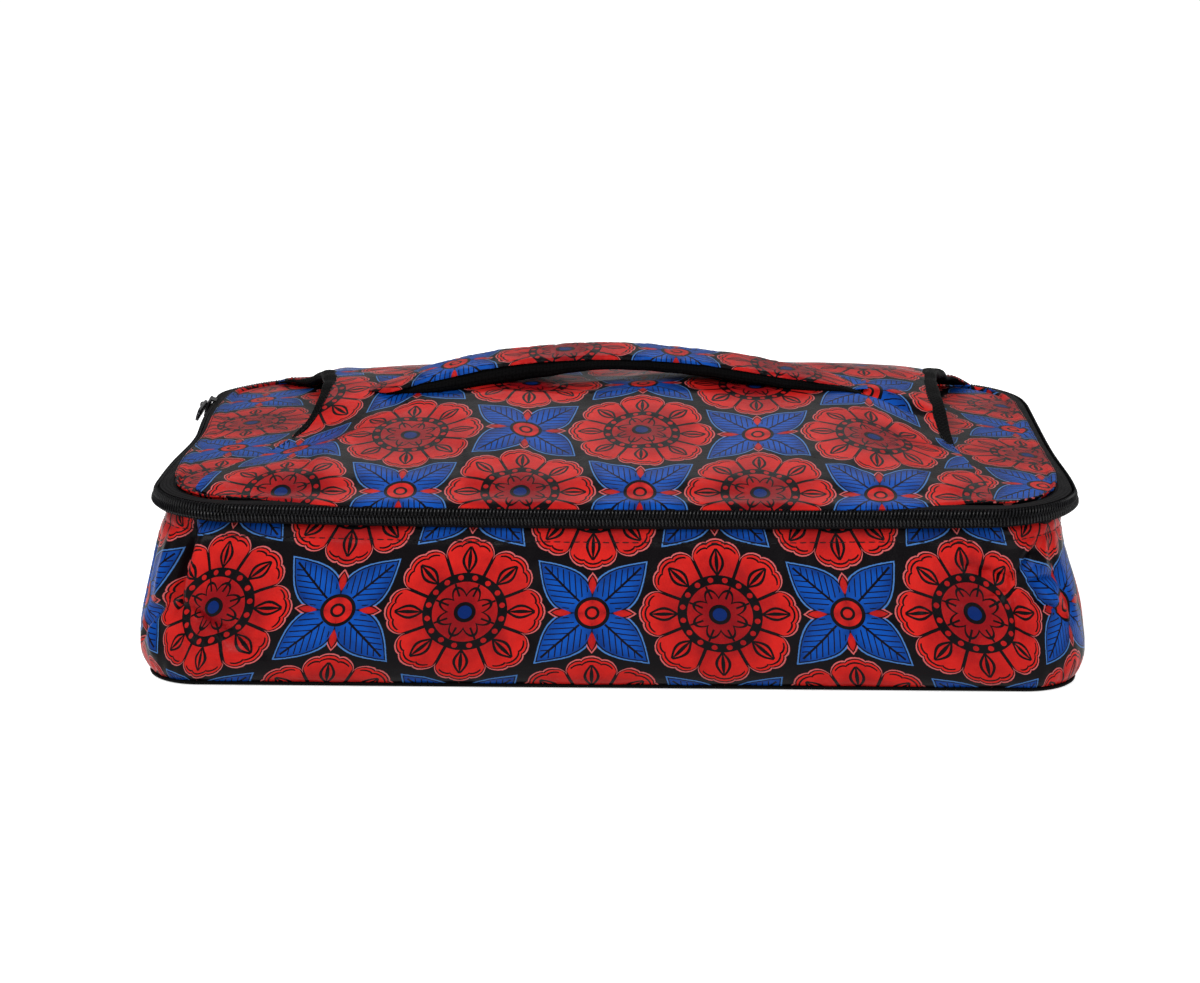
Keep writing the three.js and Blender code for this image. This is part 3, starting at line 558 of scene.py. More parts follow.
def outline(half_width, half_depth, corner):
    """Points and normals of a rounded rectangle; for each its side, and how far from the side's ends."""
    points, normals, share, side_of = [], [], [], []
    for k, (sx, sy) in enumerate([(-1, 1), (-1, -1), (1, -1), (1, 1)]):
        steps, half = (LONG, half_width) if k % 2 else (SHORT, half_depth)
        angle = np.pi / 2 * (1 + k + np.arange(CORNER + 1) / CORNER)
        normal = np.column_stack([np.cos(angle), np.sin(angle)])
        arc = np.array([sx * (half_width - corner), sy * (half_depth - corner)]) + corner * normal
        t = np.arange(1, steps) / steps
        along = 2 * (half - corner) * np.array([-normal[-1, 1], normal[-1, 0]])
        points += [arc, arc[-1] + t[:, None] * along]
        normals += [normal, np.repeat(normal[-1:], steps - 1, axis=0)]
        share += [np.zeros(CORNER + 1), np.sin(np.pi * t)]
        side_of += [np.full(CORNER + 1, -1), np.full(steps - 1, k)]
    return [np.concatenate(column) for column in (points, normals, share, side_of)]


RIM_P, RIM_N, ALONG, SIDE = outline(*RIM)
BASE_P = outline(*BASE)[0]
COUNT = len(RIM_P)
ZIP_RUN = np.arange(COUNT - LONG + 1)
HINGE_RUN = np.concatenate([np.arange(COUNT - LONG, COUNT), [0]])
FRONT = np.where(SIDE == FRONT_SIDE, ALONG, 0.0)
PATH = distances(RIM_P, True)
ROUND = PATH[:-1]  # distance round the rim
SEAM = (SEAM_INSET + (SEAM_FRONT_INSET - SEAM_INSET) * FRONT) * (1 - np.clip(RIM_N[:, 1], 0, 1))
LID_IN = LID_INSET + (LID_FRONT_INSET - LID_INSET) * FRONT
BULGE = np.where(RIM_N[:, 1] < 0, FRONT_BULGE, BACK_BULGE) * RIM_N[:, 1] ** 2 + SIDE_BULGE * RIM_N[:, 0] ** 2
BULGE = BULGE * (CORNER_BULGE_SHARE + (1 - CORNER_BULGE_SHARE) * ALONG)


def rim_points(inset, z, run=slice(None)):
    """Points a distance inside the rim at a height; inset and z may differ along the rim."""
    inset = np.broadcast_to(inset, (COUNT,))[run]
    return at_height(RIM_P[run] - inset[:, None] * RIM_N[run], np.broadcast_to(z, (COUNT,))[run])


def base_points(inset, z):
    return at_height(BASE_P - inset * RIM_N, z)


def wall_points(inset, z):
    """Points a distance inside the wall's outer face at a height."""
    t = z / WALL_TOP
    top = RIM_P - SEAM[:, None] * RIM_N
    under = np.clip(1 - z / FOOT_HEIGHT, 0, 1)
    draw_in = FOOT_DRAW_IN * (1 - np.sqrt(1 - under ** 2))
    out = BULGE * np.sin(np.pi * np.clip(t, 0, 1)) - inset - draw_in
    return at_height(BASE_P + (top - BASE_P) * t + out[:, None] * RIM_N, z)


def zip_section(across, out):
    """Inset and height of a point given across the zip's chain and out from it."""
    inset = ZIP_IN + across * np.sin(ZIP_TILT) - out * np.cos(ZIP_TILT)
    return inset, ZIP_Z + across * np.cos(ZIP_TILT) + out * np.sin(ZIP_TILT)


def lid_top(x, y):
    reach = np.hypot((x / LID_HALF[0]) ** 2, (y / LID_HALF[1]) ** 2)
    return LID_EDGE_Z + LID_CROWN * (1 - reach)


# Half width of the yoke to each side, by place from front to back
LEFT_EDGE = [(-112, 174), (-90, 166), (-50, 143), (-25, 131), (-5, 129), (30, 133), (68, 139.5),
             (91, 154), (112, 174)]
RIGHT_EDGE = [(-112, 156), (-70, 147.5), (-30, 143), (0, 141), (30, 142), (70, 147.5), (90, 156), (112, 174)]


def yoke_half(y, side):
    """How far the yoke reaches to a side, below or above 0: narrow at its middle, wide at its sewn ends."""
    y = np.clip(y, -YOKE_LENGTH, YOKE_LENGTH)
    past = np.maximum(0, np.abs(y) - LID_HALF[1] + LID_CORNER)
    lid = LID_HALF[0] - LID_CORNER + np.sqrt(LID_CORNER ** 2 - past ** 2)
    half = np.where(np.asarray(side) < 0, through(y, LEFT_EDGE), through(y, RIGHT_EDGE))
    return np.minimum(half, lid - 1.2)


def yoke_under(x, y):
    """Height of the yoke's underside: an arch from front to back that droops at its free corners."""
    rise = np.clip((1 - np.abs(y) / YOKE_LENGTH) / 0.8, 0, 2)
    share = np.clip(0.5 + (1 - rise) / 0.36, 0, 1)
    rise = np.clip(1 + (rise - 1) * share - 0.18 * share * (1 - share), 0, 1)
    ramp = rise ** np.where(y < 0, 1.2, 0.75)
    half = yoke_half(y, x)
    edge = 1 - 0.15 * (x / half) ** 2 - 0.2 * smooth(x - half, -24, 0) * bump(y, 25, 50)
    level = 0.6 * (lid_top(0 * x, y) - lid_top(x, y))
    reach = np.abs(x) - np.where(x > 0, 22, -8)
    back = 0.9 * smooth(reach, YOKE_WAIST, YOKE_WAIST + 26) * smooth(y, 15, 75)
    front = 0.95 * smooth(np.abs(x) - half, -48, -3) * smooth(-y, 8, 50)
    return lid_top(x, y) + YOKE_SEAT + ramp * (YOKE_LIFT * edge + level) * (1 - back - front)


def yoke_soft(x, y):
    """How far the panel stands off its plain shape: slack, puckers, a ridge, a crease, a full right back."""
    t = np.clip(np.abs(y) / YOKE_LENGTH, 0, 1)
    free = np.sqrt(1 - t ** 2)
    z = free * (0.6 * ripple(x, y, 85, 41) + 0.25 * ripple(x, y, 30, 43))
    z = z + 1.1 * bump(y, -28 + 1.5 * np.sin(x / 40), 5.0) * smooth(x, -110, -80) * smooth(-x, -60, -5)
    z = z + 3.2 * smooth(x, 25, 70) * (1 - 0.8 * smooth(x, 135, 165)) * bump(y, 45, 40) * free
    z = z - 2.4 * crease(x, y, (103, -12), (137, -27), 1.7) + 1.3 * crease(x, y, (104, -4), (140, -20), 4.0)
    pucker = 0.45 * ripple(x, 0.15 * y, 15, 45) * smooth(-y, 70, 104)
    return z + pucker * (1 - smooth(t, 0.93, 1.0))


# Body: the outer wall, a lofted shell with the slack of padded cloth

FRONT_START = PATH[2 * (CORNER + 1) + SHORT - 2]  # where the front begins, at the end of its left corner
FRONT_END = FRONT_START + 2 * (RIM[0] - RIM[2])
WALL_SEAM_Z = 63.0

# Folds at the front corners: place and height of the start and of the end, then width and depth
LEFT_FOLDS_AT, RIGHT_FOLDS_AT = FRONT_START - 26, FRONT_END + 11
LEFT_FOLDS = [
    (0, 68, 2, 28, 4.6, -8.5), (10, 66, 10, 30, 3.4, 3.2), (-11, 62, -9, 30, 4.2, 2.4),
    (1, 38, -28, 14, 2.8, -4.0), (3, 38, 38, 15, 2.5, -4.0), (10, 22, 34, 11, 3.0, 1.8),
    (-14, 28, -6, 10, 4.0, 2.2), (16, 32, 54, 12, 2.4, -3.0), (36, 44, 70, 28, 3.0, -1.6),
    (24, 60, 42, 40, 2.8, -1.6), (-27, 60, -30, 22, 3.4, -3.0), (-46, 56, -42, 24, 4.0, -2.0)]
RIGHT_FOLDS = [
    (-4, 47, 5, 44, 4.0, -4.2), (1, 47, -26, 54, 1.9, -3.2), (0, 44, -22, 38, 1.9, -3.0),
    (1, 47, 20, 62, 1.9, -3.4), (2, 45, 28, 46, 1.9, -3.2), (2, 43, 26, 29, 2.0, -3.4),
    (-1, 43, -9, 20, 2.2, -2.4), (10, 53, 22, 53, 3.0, 2.0), (10, 38, 22, 37, 3.0, 2.0),
    (-46, 36, -18, 40, 2.8, -1.7), (26, 60, 32, 26, 3.2, -2.4)]


def wall_soft(z):
    """How far the cloth stands out of its plain shape at a height, round the wall."""
    t = np.clip(z / WALL_TOP, 0, 1)
    level = np.full(COUNT, z)
    slack = np.sin(np.pi * t) ** 0.7
    out = slack * (0.8 * ripple(ROUND, level, 95, 3) + 0.35 * ripple(ROUND, level, 36, 5))
    by_seams = (smooth(z, 50, 62) + smooth(-z, -16, -6)) * slack ** 0.3
    out = out + 0.32 * ripple(ROUND, 0.2 * level, 10, 8) * by_seams
    out = out - 0.45 * bump(z, WALL_SEAM_Z, 1.3)
    for place, folds in ((LEFT_FOLDS_AT, LEFT_FOLDS), (RIGHT_FOLDS_AT, RIGHT_FOLDS)):
        for s0, z0, s1, z1, width, depth in folds:
            out = out + depth * crease(ROUND, level, (place + s0, z0), (place + s1, z1), width)
    return out


def dent(z):
    """How far a fold pushes the padding and the lining inwards at a height."""
    return np.clip(-wall_soft(z) - 1.2, 0, None)


heights = np.concatenate([[1.7, 2.4, 3.4, 4.6, 6, 8, 10, 12], np.linspace(14, 58, 26),
                          [59.5, 61, 61.8, 62.4, WALL_SEAM_Z, 63.6, 64.2, 65, 66, 67, 68, 68.7]])
tuck = 0.8 * smooth(heights, 67.4, 68.9)
wall_skin = np.stack([wall_points(tuck[k] - wall_soft(z), z) for k, z in enumerate(heights)], axis=1)
held = np.maximum(smooth(-heights, -12, -5), smooth(heights, 56, 61.5))[None, :]
folded = bump(ROUND, FRONT_START - 18, 36) + bump(ROUND, FRONT_END + 12, 28)
held = np.maximum(held, np.clip(1.4 * folded, 0, 1)[:, None])
wall_skin = settled(wall_skin, held, pressure=1.2, slack=0.006, cap=1.6, loop=True)
behind_z = [67.0, 45.0, 25.0, 9.0, 2.6]
behind = np.stack([wall_points(3.4 + dent(z), z) for z in behind_z], axis=1)
u, v = np.meshgrid(PATH * MM, np.concatenate([heights, behind_z, heights[:1]]) * MM, indexing="ij")
wall = grid_piece("wall_cover", np.concatenate([wall_skin, behind], axis=1), u, v, PRINT_WALL, "body",
                  "outer_wall wall_foam", True)

PIPING_IN, PIPING_Z, PIPING_RADIUS = 5.6, 1.0, 0.85
cord = [base_points(PIPING_IN + PIPING_RADIUS * np.cos(a), PIPING_Z + PIPING_RADIUS * np.sin(a))
        for a in turns(10)]
swept_piece("base_cord", np.stack(cord, axis=1), BINDING, "body", "base_piping", True)


def flat_sheet(name, edge, low, thickness, stuff, replaces, relief=0.0):
    """A sheet over the base, of rings towards the middle; relief is the unevenness of its top."""
    shares = np.concatenate([[0.02], np.linspace(0.1, 1, 16)])
    rings = []
    for level, order in ((low, shares), (low + thickness, shares[::-1])):
        for s in order:
            x, y = edge[:, 0] * s, edge[:, 1] * s
            lift = relief * ripple(x, y, 45, 71) * (level > low) * (1 - s ** 4)
            rings.append(np.column_stack([x, y, level + lift]))
    return plan_piece(name, rings, stuff, "body", replaces)


base_cover = flat_sheet("base_cover", base_points(7.5, 0), 0.0, 1.2, PRINT_LID, "base_panel")
base_foil = flat_sheet("base_foil", wall_points(7.2, 8.5), 8.1, 0.8, FOIL,
                       "base_lining base_foam base_board", 0.35)

# Body: lining of the wall and the tape round the mouth

lining_z = np.concatenate([[3.4, 5, 7, 9], np.linspace(12, 62, 16), [65, 66.9]])
face, back = [], []
for z in lining_z:
    crinkle = 0.3 * ripple(ROUND, np.full(COUNT, z), 28, 21) * np.sin(np.pi * z / 70)
    face.append(wall_points(6.6 + dent(z) - crinkle, z))
    back.append(wall_points(5.8 + dent(z), z))
foil = swept_piece("wall_foil", np.stack(face + back[::-1], axis=1), FOIL, "body", "wall_lining", True)
mouth = [(1.1, 67.3), (1.0, 68.7), (2.0, 68.85), (3.5, 68.55), (6.4, 68.05), (6.8, 67.5), (6.6, 66.4),
         (6.25, 66.4), (6.0, 67.2)]
mouth = np.stack([wall_points(inset, z) for inset, z in mouth], axis=1)
swept_piece("mouth_tape", mouth, BINDING, "body", "mouth_binding", True)


# Zip: tapes and coils

TAPE_THICKNESS, TAPE_BEND = 0.8, 3.4  # the bend's distance from the zip line


def strip(line, thickness):
    """Section points of a strip along a bent line of inset and height, which may differ along the rim."""
    line = [(np.broadcast_to(i, (COUNT,)), np.broadcast_to(z, (COUNT,))) for i, z in line]
    first, second = [], []
    for k, (i, z) in enumerate(line):
        before, after = line[max(0, k - 1)], line[min(len(line) - 1, k + 1)]
        di, dz = after[0] - before[0], after[1] - before[1]
        size = np.hypot(di, dz) / (thickness / 2)
        first.append((i - dz / size, z + di / size))
        second.append((i + dz / size, z - di / size))
    return first + second[::-1]


def run_piece(name, section, stuff, body, replaces, run=ZIP_RUN):
    sections = np.stack([rim_points(i, z, run) for i, z in section], axis=1)
    return swept_piece(name, sections, stuff, body, replaces)


edge_xy = rim_points(LID_IN, 0.0)
LID_EDGE = lid_top(edge_xy[:, 0], edge_xy[:, 1])
bend_low, bend_high = zip_section(-TAPE_BEND, 0), zip_section(TAPE_BEND, 0)
lower_mid = ((SEAM + bend_low[0]) / 2 + 0.2, 69.9 + 0.12 * ripple(ROUND, 0 * ROUND, 16, 24))
lower_line = [(SEAM + 0.6, 68.7), lower_mid, bend_low, zip_section(-1.8, 0), zip_section(-0.4, 0)]
upper_mid = ((LID_IN + bend_high[0]) / 2,
             (LID_EDGE - 0.6 + bend_high[1]) / 2 + 0.35 + 0.18 * ripple(ROUND, 0 * ROUND, 19, 23))
upper_line = [zip_section(0.4, 0), zip_section(1.8, 0), bend_high, upper_mid, (LID_IN + 0.2, LID_EDGE - 1.5)]
run_piece("lower_tape", strip(lower_line, TAPE_THICKNESS), TAPE, "body", "lower_zip_tape")
run_piece("upper_tape", strip(upper_line, TAPE_THICKNESS), TAPE, "lid", "upper_zip_tape")


def along_zip(station, values):
    return np.column_stack([np.interp(station, PATH[ZIP_RUN], values[ZIP_RUN, k]) for k in (0, 1)])


def coil_row(name, side, body, replaces):
    """One row of the coil: a flattened spring sewn along the tape, its turns reaching over the zip line."""
    pitch, wire, per_turn, wire_sides = 1.5, 0.36, 8, 5
    from_line, half_across, from_tape, half_height = 1.45, 1.62, 1.45, 0.62
    ends = 3.4 if side < 0 else 0.6
    t = np.arange(int((PATH[ZIP_RUN[-1]] - 2 * ends) / pitch) * per_turn) / per_turn
    station = ends + t * pitch
    phase = 2 * np.pi * t + (np.pi if side > 0 else 0.0)
    across = side * (from_line - half_across * np.cos(phase))
    inset, z = zip_section(across, from_tape + half_height * np.sin(phase))
    normal = along_zip(station, RIM_N)
    centre = at_height(along_zip(station, RIM_P) - inset[:, None] * normal, z)
    tangent = unit(np.gradient(centre, axis=0))
    first = unit(np.cross(tangent, at_height(normal, 0.35)))
    second = np.cross(tangent, first)
    rings = [centre + wire * (np.cos(a) * first + np.sin(a) * second) for a in turns(wire_sides)]
    swept_piece(name, np.stack(rings, axis=1), COIL, body, replaces)


coil_row("lower_coil", -1, "body", "lower_zip_coil")
coil_row("upper_coil", 1, "lid", "upper_zip_coil")


# Lid: a domed panel, its lining and the hinge band

def under_yoke(x, y):
    """The lid's cloth is pressed down where the front of the yoke is sewn on it."""
    return 1.2 * smooth(-y, 84, 100) * smooth(yoke_half(y, x) - np.abs(x), 2, 16)


def lid_rings(inset, below, shares, soft=False):
    """Rings over the lid, each at a share of the way from its middle to its edge."""
    edge = rim_points(LID_IN + inset, 0.0)[:, :2]
    rings = []
    for s in shares:
        x, y = edge[:, 0] * s, edge[:, 1] * s
        z = lid_top(x, y) - below
        if soft:
            z = z + (0.35 * ripple(x, y, 80, 31) + 0.2 * ripple(x, y, 30, 33)) * (1 - s ** 6)
            z = z - 0.5 * smooth(s, 0.985, 1.0) - under_yoke(x, y)
        rings.append(np.column_stack([x, y, z]))
    return rings


cloth_over = np.where(SIDE == LEFT_SIDE, 4.6, np.where(SIDE == RIGHT_SIDE, 3.4, 0.0)) * ALONG ** 0.5
cover_in = np.minimum(9.8 - cloth_over, LID_IN - 0.8)  # where the lid's cloth ends on the zip's tape
tape_share = (cover_in - bend_high[0]) / (upper_mid[0] - bend_high[0])
tape_z = bend_high[1] + (upper_mid[1] - bend_high[1]) * tape_share


def hem_ring(k):
    """A ring of the lid's hem, from the panel's edge at 0 to its end on the tape at 1."""
    start, end = LID_EDGE - 0.5, tape_z + 1.1
    ring = rim_points(LID_IN + (cover_in - LID_IN) * k, start + (end - start) * k + 0.7 * np.sin(np.pi * k))
    ring[:, 2] -= under_yoke(ring[:, 0], ring[:, 1])
    return ring


shares = np.concatenate([[0.02], np.linspace(0.08, 0.92, 26), np.linspace(0.94, 1.0, 9)])
hem = [hem_ring(k) for k in (0.25, 0.5, 0.75, 1.0)]
hem_under = [ring - 0.55 * UP for ring in hem[::-1]]
rings = lid_rings(0.0, 0.0, shares, True) + hem + hem_under + lid_rings(0.0, 1.2, shares[::-4])
lid = plan_piece("lid_cover", rings, PRINT_LID, "lid", "lid_panel lid_foam")
coarse = np.concatenate([[0.02], np.linspace(0.1, 1.0, 12)])
skirt = [rim_points(LID_IN + 0.3, LID_EDGE - 1.9), rim_points(LID_IN - 0.3, LID_EDGE - 2.2)]  # up to the tape
rings = lid_rings(1.2, 5.8, coarse) + skirt + lid_rings(1.2, 6.6, coarse[::-1])
lid_foil = plan_piece("lid_foil", rings, FOIL, "lid", "lid_lining")

hinge_line = [(1.2, 68.9), (3.4, 71.4), (6.2, 74.4), (8.8, 76.9), (LID_IN - 0.2, LID_EDGE - 0.7)]
hinge = run_piece("hinge_strip", strip(hinge_line, 1.2), BINDING, None, "hinge_band", HINGE_RUN)
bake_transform(hinge)


# Yoke: a stiffened panel lifted over the lid, with a black underside and bound edges

YOKE_COLUMNS, YOKE_ROWS = 160, 110
LIP_SHARES = (1.0, 0.75, 0.5, 0.25)
LIP = len(LIP_SHARES)
BINDING_START, BINDING_END = -58, 0.88 * YOKE_LENGTH
BACKING_GAP, BACKING_SHARE = 0.15, 0.7


def yoke_points():
    """Points over the panel, after those of its lip, which runs down to the zip at the front."""
    t = np.linspace(-1, 1, YOKE_ROWS)
    s = np.linspace(-1, 1, YOKE_COLUMNS)
    straight = YOKE_LENGTH * t
    y = straight[:, None] - 4.5 * np.maximum(0, -t)[:, None] ** 2 * (1 - s ** 2)
    x = np.where(s < 0, yoke_half(straight, -1)[:, None], yoke_half(straight, 1)[:, None]) * s
    sewn = 1 - 0.75 * smooth(np.abs(t), 0.86, 1.0)[:, None]
    z = yoke_under(x, y) + (YOKE_SEAT + YOKE_THICKNESS) * sewn - YOKE_SEAT + yoke_soft(x, y)
    panel = np.stack([x, y, z], axis=2)
    first = panel[0]
    out = smooth(np.abs(first[:, 0]), 110, 158)
    lip_y = np.minimum(first[:, 1] - 0.4, 2.9 + 7.9 * out - RIM[1])
    last = np.column_stack([first[:, 0], lip_y, 77.3 + 1.2 * out])
    arch = np.array([0, -0.3, 0.5])
    lip = [first + (last - first) * k + arch * np.sin(np.pi * k) for k in LIP_SHARES]
    return np.concatenate([np.array(lip), panel])


def panel_sections(top, under):
    return np.concatenate([top, under[:, ::-1]], axis=1)


t = np.concatenate([np.full(LIP, -1), np.linspace(-1, 1, YOKE_ROWS)])
held = smooth(np.abs(t), 0.8, 0.94)[:, None]
yoke_top = settled(yoke_points(), held, pressure=0.25, slack=0.004, cap=1.2, bending=4.0)
thin = (1.15 - 0.75 * smooth(np.abs(t), 0.86, 1.0))[:, None, None]
sections = panel_sections(yoke_top, yoke_top - UP * thin)
yoke = plan_piece("yoke_panel", sections, PRINT_TOP, "lid", "yoke_cover")
core, thin = yoke_top[LIP::2, ::2], thin[LIP::2]
backing_top = core - UP * (thin + BACKING_GAP)
backing = panel_sections(backing_top, backing_top - UP * BACKING_SHARE * thin)
backing = plan_piece("yoke_backing", backing, PAD, "lid", "yoke_lining")

binding_seams = {}
for side, name in ((-1, "left"), (1, "right")):
    edge = yoke_top[LIP:, 0 if side < 0 else -1]
    edge = edge[(edge[:, 1] > BINDING_START) & (edge[:, 1] < BINDING_END)]
    y = edge[:, 1]
    inward = unit(np.column_stack([-side * np.ones(len(edge)), side * np.gradient(edge[:, 0], y)]))
    size = (0.15 + 0.85 * smooth(y, BINDING_START, -36)) * (1 - 0.8 * smooth(y, 74, 98))
    # Away from the front the binding is drawn wider, most on the left, so its black is partly the real
    # binding and partly painted shade in the dark opening under the yoke's raised edge.
    size = size * (0.75 + 0.55 * smooth(y, -35, 15) if side < 0 else 1 + 0.35 * smooth(y, -45, -20))
    ring = []
    for angle in turns(16):
        c, s = oval_power(angle, 0.75)
        across = (size * (1.5 + 2.7 * c))[:, None]
        ring.append(at_height(edge[:, :2] + inward * across, edge[:, 2] - 1.1 + size * 1.8 * s))
    swept_piece("yoke_edge_" + name, np.stack(ring, axis=1), BINDING, "lid", "yoke_binding_" + name)
    seam_plan = edge[:, :2] + inward * 3.4 * size[:, None]
    binding_seams[name] = at_height(seam_plan, edge[:, 2] + 0.62 * size - 0.1)


# Handle: a gathered printed cover on a black pad; the cover's ends are sewn down on the yoke

# Heights by place from left to right
# Towards its left end the black pad is drawn thicker than a plain pad, so its black is partly the real pad
# and partly painted shade in the gap under the handle.
PAD_UNDER = [(-102, 99.8), (-81, 100.8), (-67, 101.8), (-42, 104.9), (0, 110.2), (28, 108.2), (64, 103.8),
             (95, 100.8), (108, 100.6)]
PAD_TOP = [(-103, 101.4), (-84, 106.0), (-48, 112.4), (0, 115.4), (34, 113.6), (67, 109.0), (94, 105.4),
           (109, 101.4)]
COVER_TOP = [(-109, 101.6), (-98, 105.2), (-75, 111.4), (-47, 115.2), (0, 118.4), (28, 116.4), (68, 111.3),
             (94, 106.8), (110, 101.6)]
TIP_START, TIP_END = 86, 108
PLEAT = 3.3
PAD_SIDES, SOLE_COLUMNS = 24, 6


def handle_half(x):
    return 14.6 - 3.0 * smooth(np.abs(x), 70, 104)


def handle_forward(x):
    """How far the ends of the handle lie in front of its middle."""
    return 9.0 * smooth(-x, 40, 88) + 6.0 * smooth(x, 50, 95)


def handle_seat(x, y):
    return yoke_under(x, y) + yoke_soft(x, y) + YOKE_THICKNESS


x = np.linspace(-100, 107, 170)[:, None]
low = through(x, PAD_UNDER)
thick = np.maximum(through(x, PAD_TOP) + 0.5 - low, 0.8)
c, s = oval_power(turns(PAD_SIDES), 0.6)
y = (handle_half(x) + 0.8) * c - handle_forward(x)
z = low + thick / 2 * (1 + s) + 0.15 * ripple(x, y, 16, 55)
x = np.repeat(x, PAD_SIDES, axis=1)
z = np.maximum(z, handle_seat(x, y) + 0.1 + 0.35 * (1 + s))
pad = swept_piece("handle_pad", np.stack([x, y, z], axis=2), PAD, None, "handle_backing")
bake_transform(pad)

x = np.linspace(-108, 110, 480)[:, None]
a = np.pi * np.linspace(0, 1, 36)
tip = smooth(np.abs(x), TIP_START, TIP_END)
lean = handle_forward(x) + 6.0 * bump(x, -97, 7)  # the left end is folded over to the front
foot = np.maximum(through(x, PAD_TOP), handle_seat(x, -lean) + 0.3)
height = np.maximum(through(x, COVER_TOP) - foot, 0.7)
half = handle_half(x) - 0.5 - 2.5 * tip
wander = 0.9 * ripple(x, 0 * x, 30, 57)
pleat = np.sin(2 * np.pi * x / PLEAT + 2.2 * wander) * (0.65 + 0.35 * ripple(x, 0 * x, 9, 59))
near_seam = np.exp(-2.6 * np.sin(a)) * np.sin(a) ** 0.25
gather = 0.75 * pleat * near_seam + 0.28 * ripple(x, 14 * a, 12, 51) * np.sin(a) ** 0.5
gather = gather * (1 - 0.5 * smooth(x, 0, 40)) * (1 - 0.7 * tip)
c, s = oval_power(a, 0.68)
y = c * (half + 0.15 + 0.8 * gather) - lean
z = foot + s * (height + 0.6 * gather)
skin = np.stack([np.repeat(x, len(a), axis=1), y, z], axis=2)
held = np.maximum(1 - smooth(np.sin(a), 0.05, 0.35), smooth(np.abs(x), 84, 100))
skin = settled(skin, held, pressure=1.5, slack=0.012, cap=0.8)
across = np.linspace(-1, 1, SOLE_COLUMNS + 2)[1:-1]
sole = np.stack(np.broadcast_arrays(x, across * half - lean, foot), axis=2)
cover = swept_piece("handle_print", np.concatenate([skin, sole], axis=1), PRINT_HANDLE, None,
                    "handle_cover handle_core handle_tab_left handle_tab_right")
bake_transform(cover)


# Zip slider and pull, in the slider's own frame: across the zip, along it to the back, and out of it

def plate(shape, low, high, bevel):
    """A flat plate with bevelled edges; shape is a closed row of points, across and along."""
    shape = np.asarray(shape, float)
    ahead, behind = np.roll(shape, -1, axis=0) - shape, shape - np.roll(shape, 1, axis=0)
    first, second = [unit(np.column_stack([d[:, 1], -d[:, 0]])) for d in (ahead, behind)]
    inner = shape - bevel * (first + second) / (1 + np.sum(first * second, axis=1))[:, None]
    rings = [(inner, low), (shape, low + bevel), (shape, high - bevel), (inner, high)]
    points = np.concatenate([at_height(p, z) for p, z in rings])
    return points, tube_faces(len(rings), len(shape))


def box_shape(half_across, half_along, across=0.0, along=0.0):
    corners = [(-1, -1), (1, -1), (1, 1), (-1, 1)]
    return [(across + sx * half_across, along + sy * half_along) for sx, sy in corners]


def curve(*knots):
    """A closed shape through quadratic arcs, each given as its start and its control point."""
    points = []
    for k, (start, control) in enumerate(np.array(knots, float)):
        end = np.array(knots[(k + 1) % len(knots)][0])
        for t in np.arange(6) / 6:
            points.append((1 - t) ** 2 * start + 2 * t * (1 - t) * control + t * t * end)
    return points


def slider_piece(name, parts, body, replaces):
    """Plates of the slider as one piece, turned into place."""
    points, faces = joined(parts)
    c, s = np.cos(ZIP_TILT), np.sin(ZIP_TILT)
    axes = np.array([[s, 0, c], [0, 1, 0], [-c, 0, s]])
    placed = points @ axes + np.array([-RIM[0] + ZIP_IN, SLIDER_Y, ZIP_Z])
    mesh_piece(name, placed, faces, [points[f, :2] * MM for f in faces], METAL, body, replaces)


shield = curve(((-3.8, -5.5), (0, -5.9)), ((3.8, -5.5), (4.5, 0)), ((4.5, 3.3), (2.25, 5.5)),
               ((0, 5.5), (-2.25, 5.5)), ((-4.5, 3.3), (-4.5, 0)))
crest = curve(((-2.6, -4.2), (0, -4.6)), ((2.6, -4.2), (3.3, 0)), ((3.2, 2.6), (1.6, 4.3)),
              ((0, 4.3), (-1.6, 4.3)), ((-3.2, 2.6), (-3.3, 0)))
flanges = [plate(box_shape(0.42, 3.2, side * 3.95), 0.75, 3.4, 0.15) for side in (-1, 1)]
post = plate(box_shape(0.3, 1.35, 0, 2.75), -1.6, 3.4, 0.08)
lower_plate = plate(box_shape(2.7, 4.4), -2.2, -1.0, 0.25)
slider_parts = [plate(shield, 2.9, 4.1, 0.25), plate(crest, 4.0, 4.3, 0.12), *flanges, post, lower_plate]
slider_piece("slider", slider_parts, "zip_slider", "slider_body")


def bail_hoop():
    """A hoop of flat wire that stands on the slider and bends over the pull's bar."""
    half_span, foot, knee, arch_z, rise = 3.0, 4.15, 4.8, 5.5, 1.62
    half_width, half_thickness, sides = 0.9, 0.5, 12
    turn = np.linspace(np.pi, 0, 15)
    top = np.column_stack([half_span * np.cos(turn), arch_z + rise * np.sin(turn)])
    centre = np.vstack([[-half_span, foot], [-half_span, knee], top, [half_span, knee], [half_span, foot]])
    ahead = unit(np.gradient(centre, axis=0))
    side = np.column_stack([-ahead[:, 1], ahead[:, 0]])
    rings = []
    for c, s in zip(*oval_power(turns(sides), 0.6)):
        across = np.full(len(centre), half_width * c)
        rings.append(np.column_stack([across, centre + half_thickness * s * side]))
    return np.stack(rings, axis=1).reshape(-1, 3), tube_faces(len(centre), sides)


slider_piece("bail", [bail_hoop()], "zip_slider", "slider_bail")


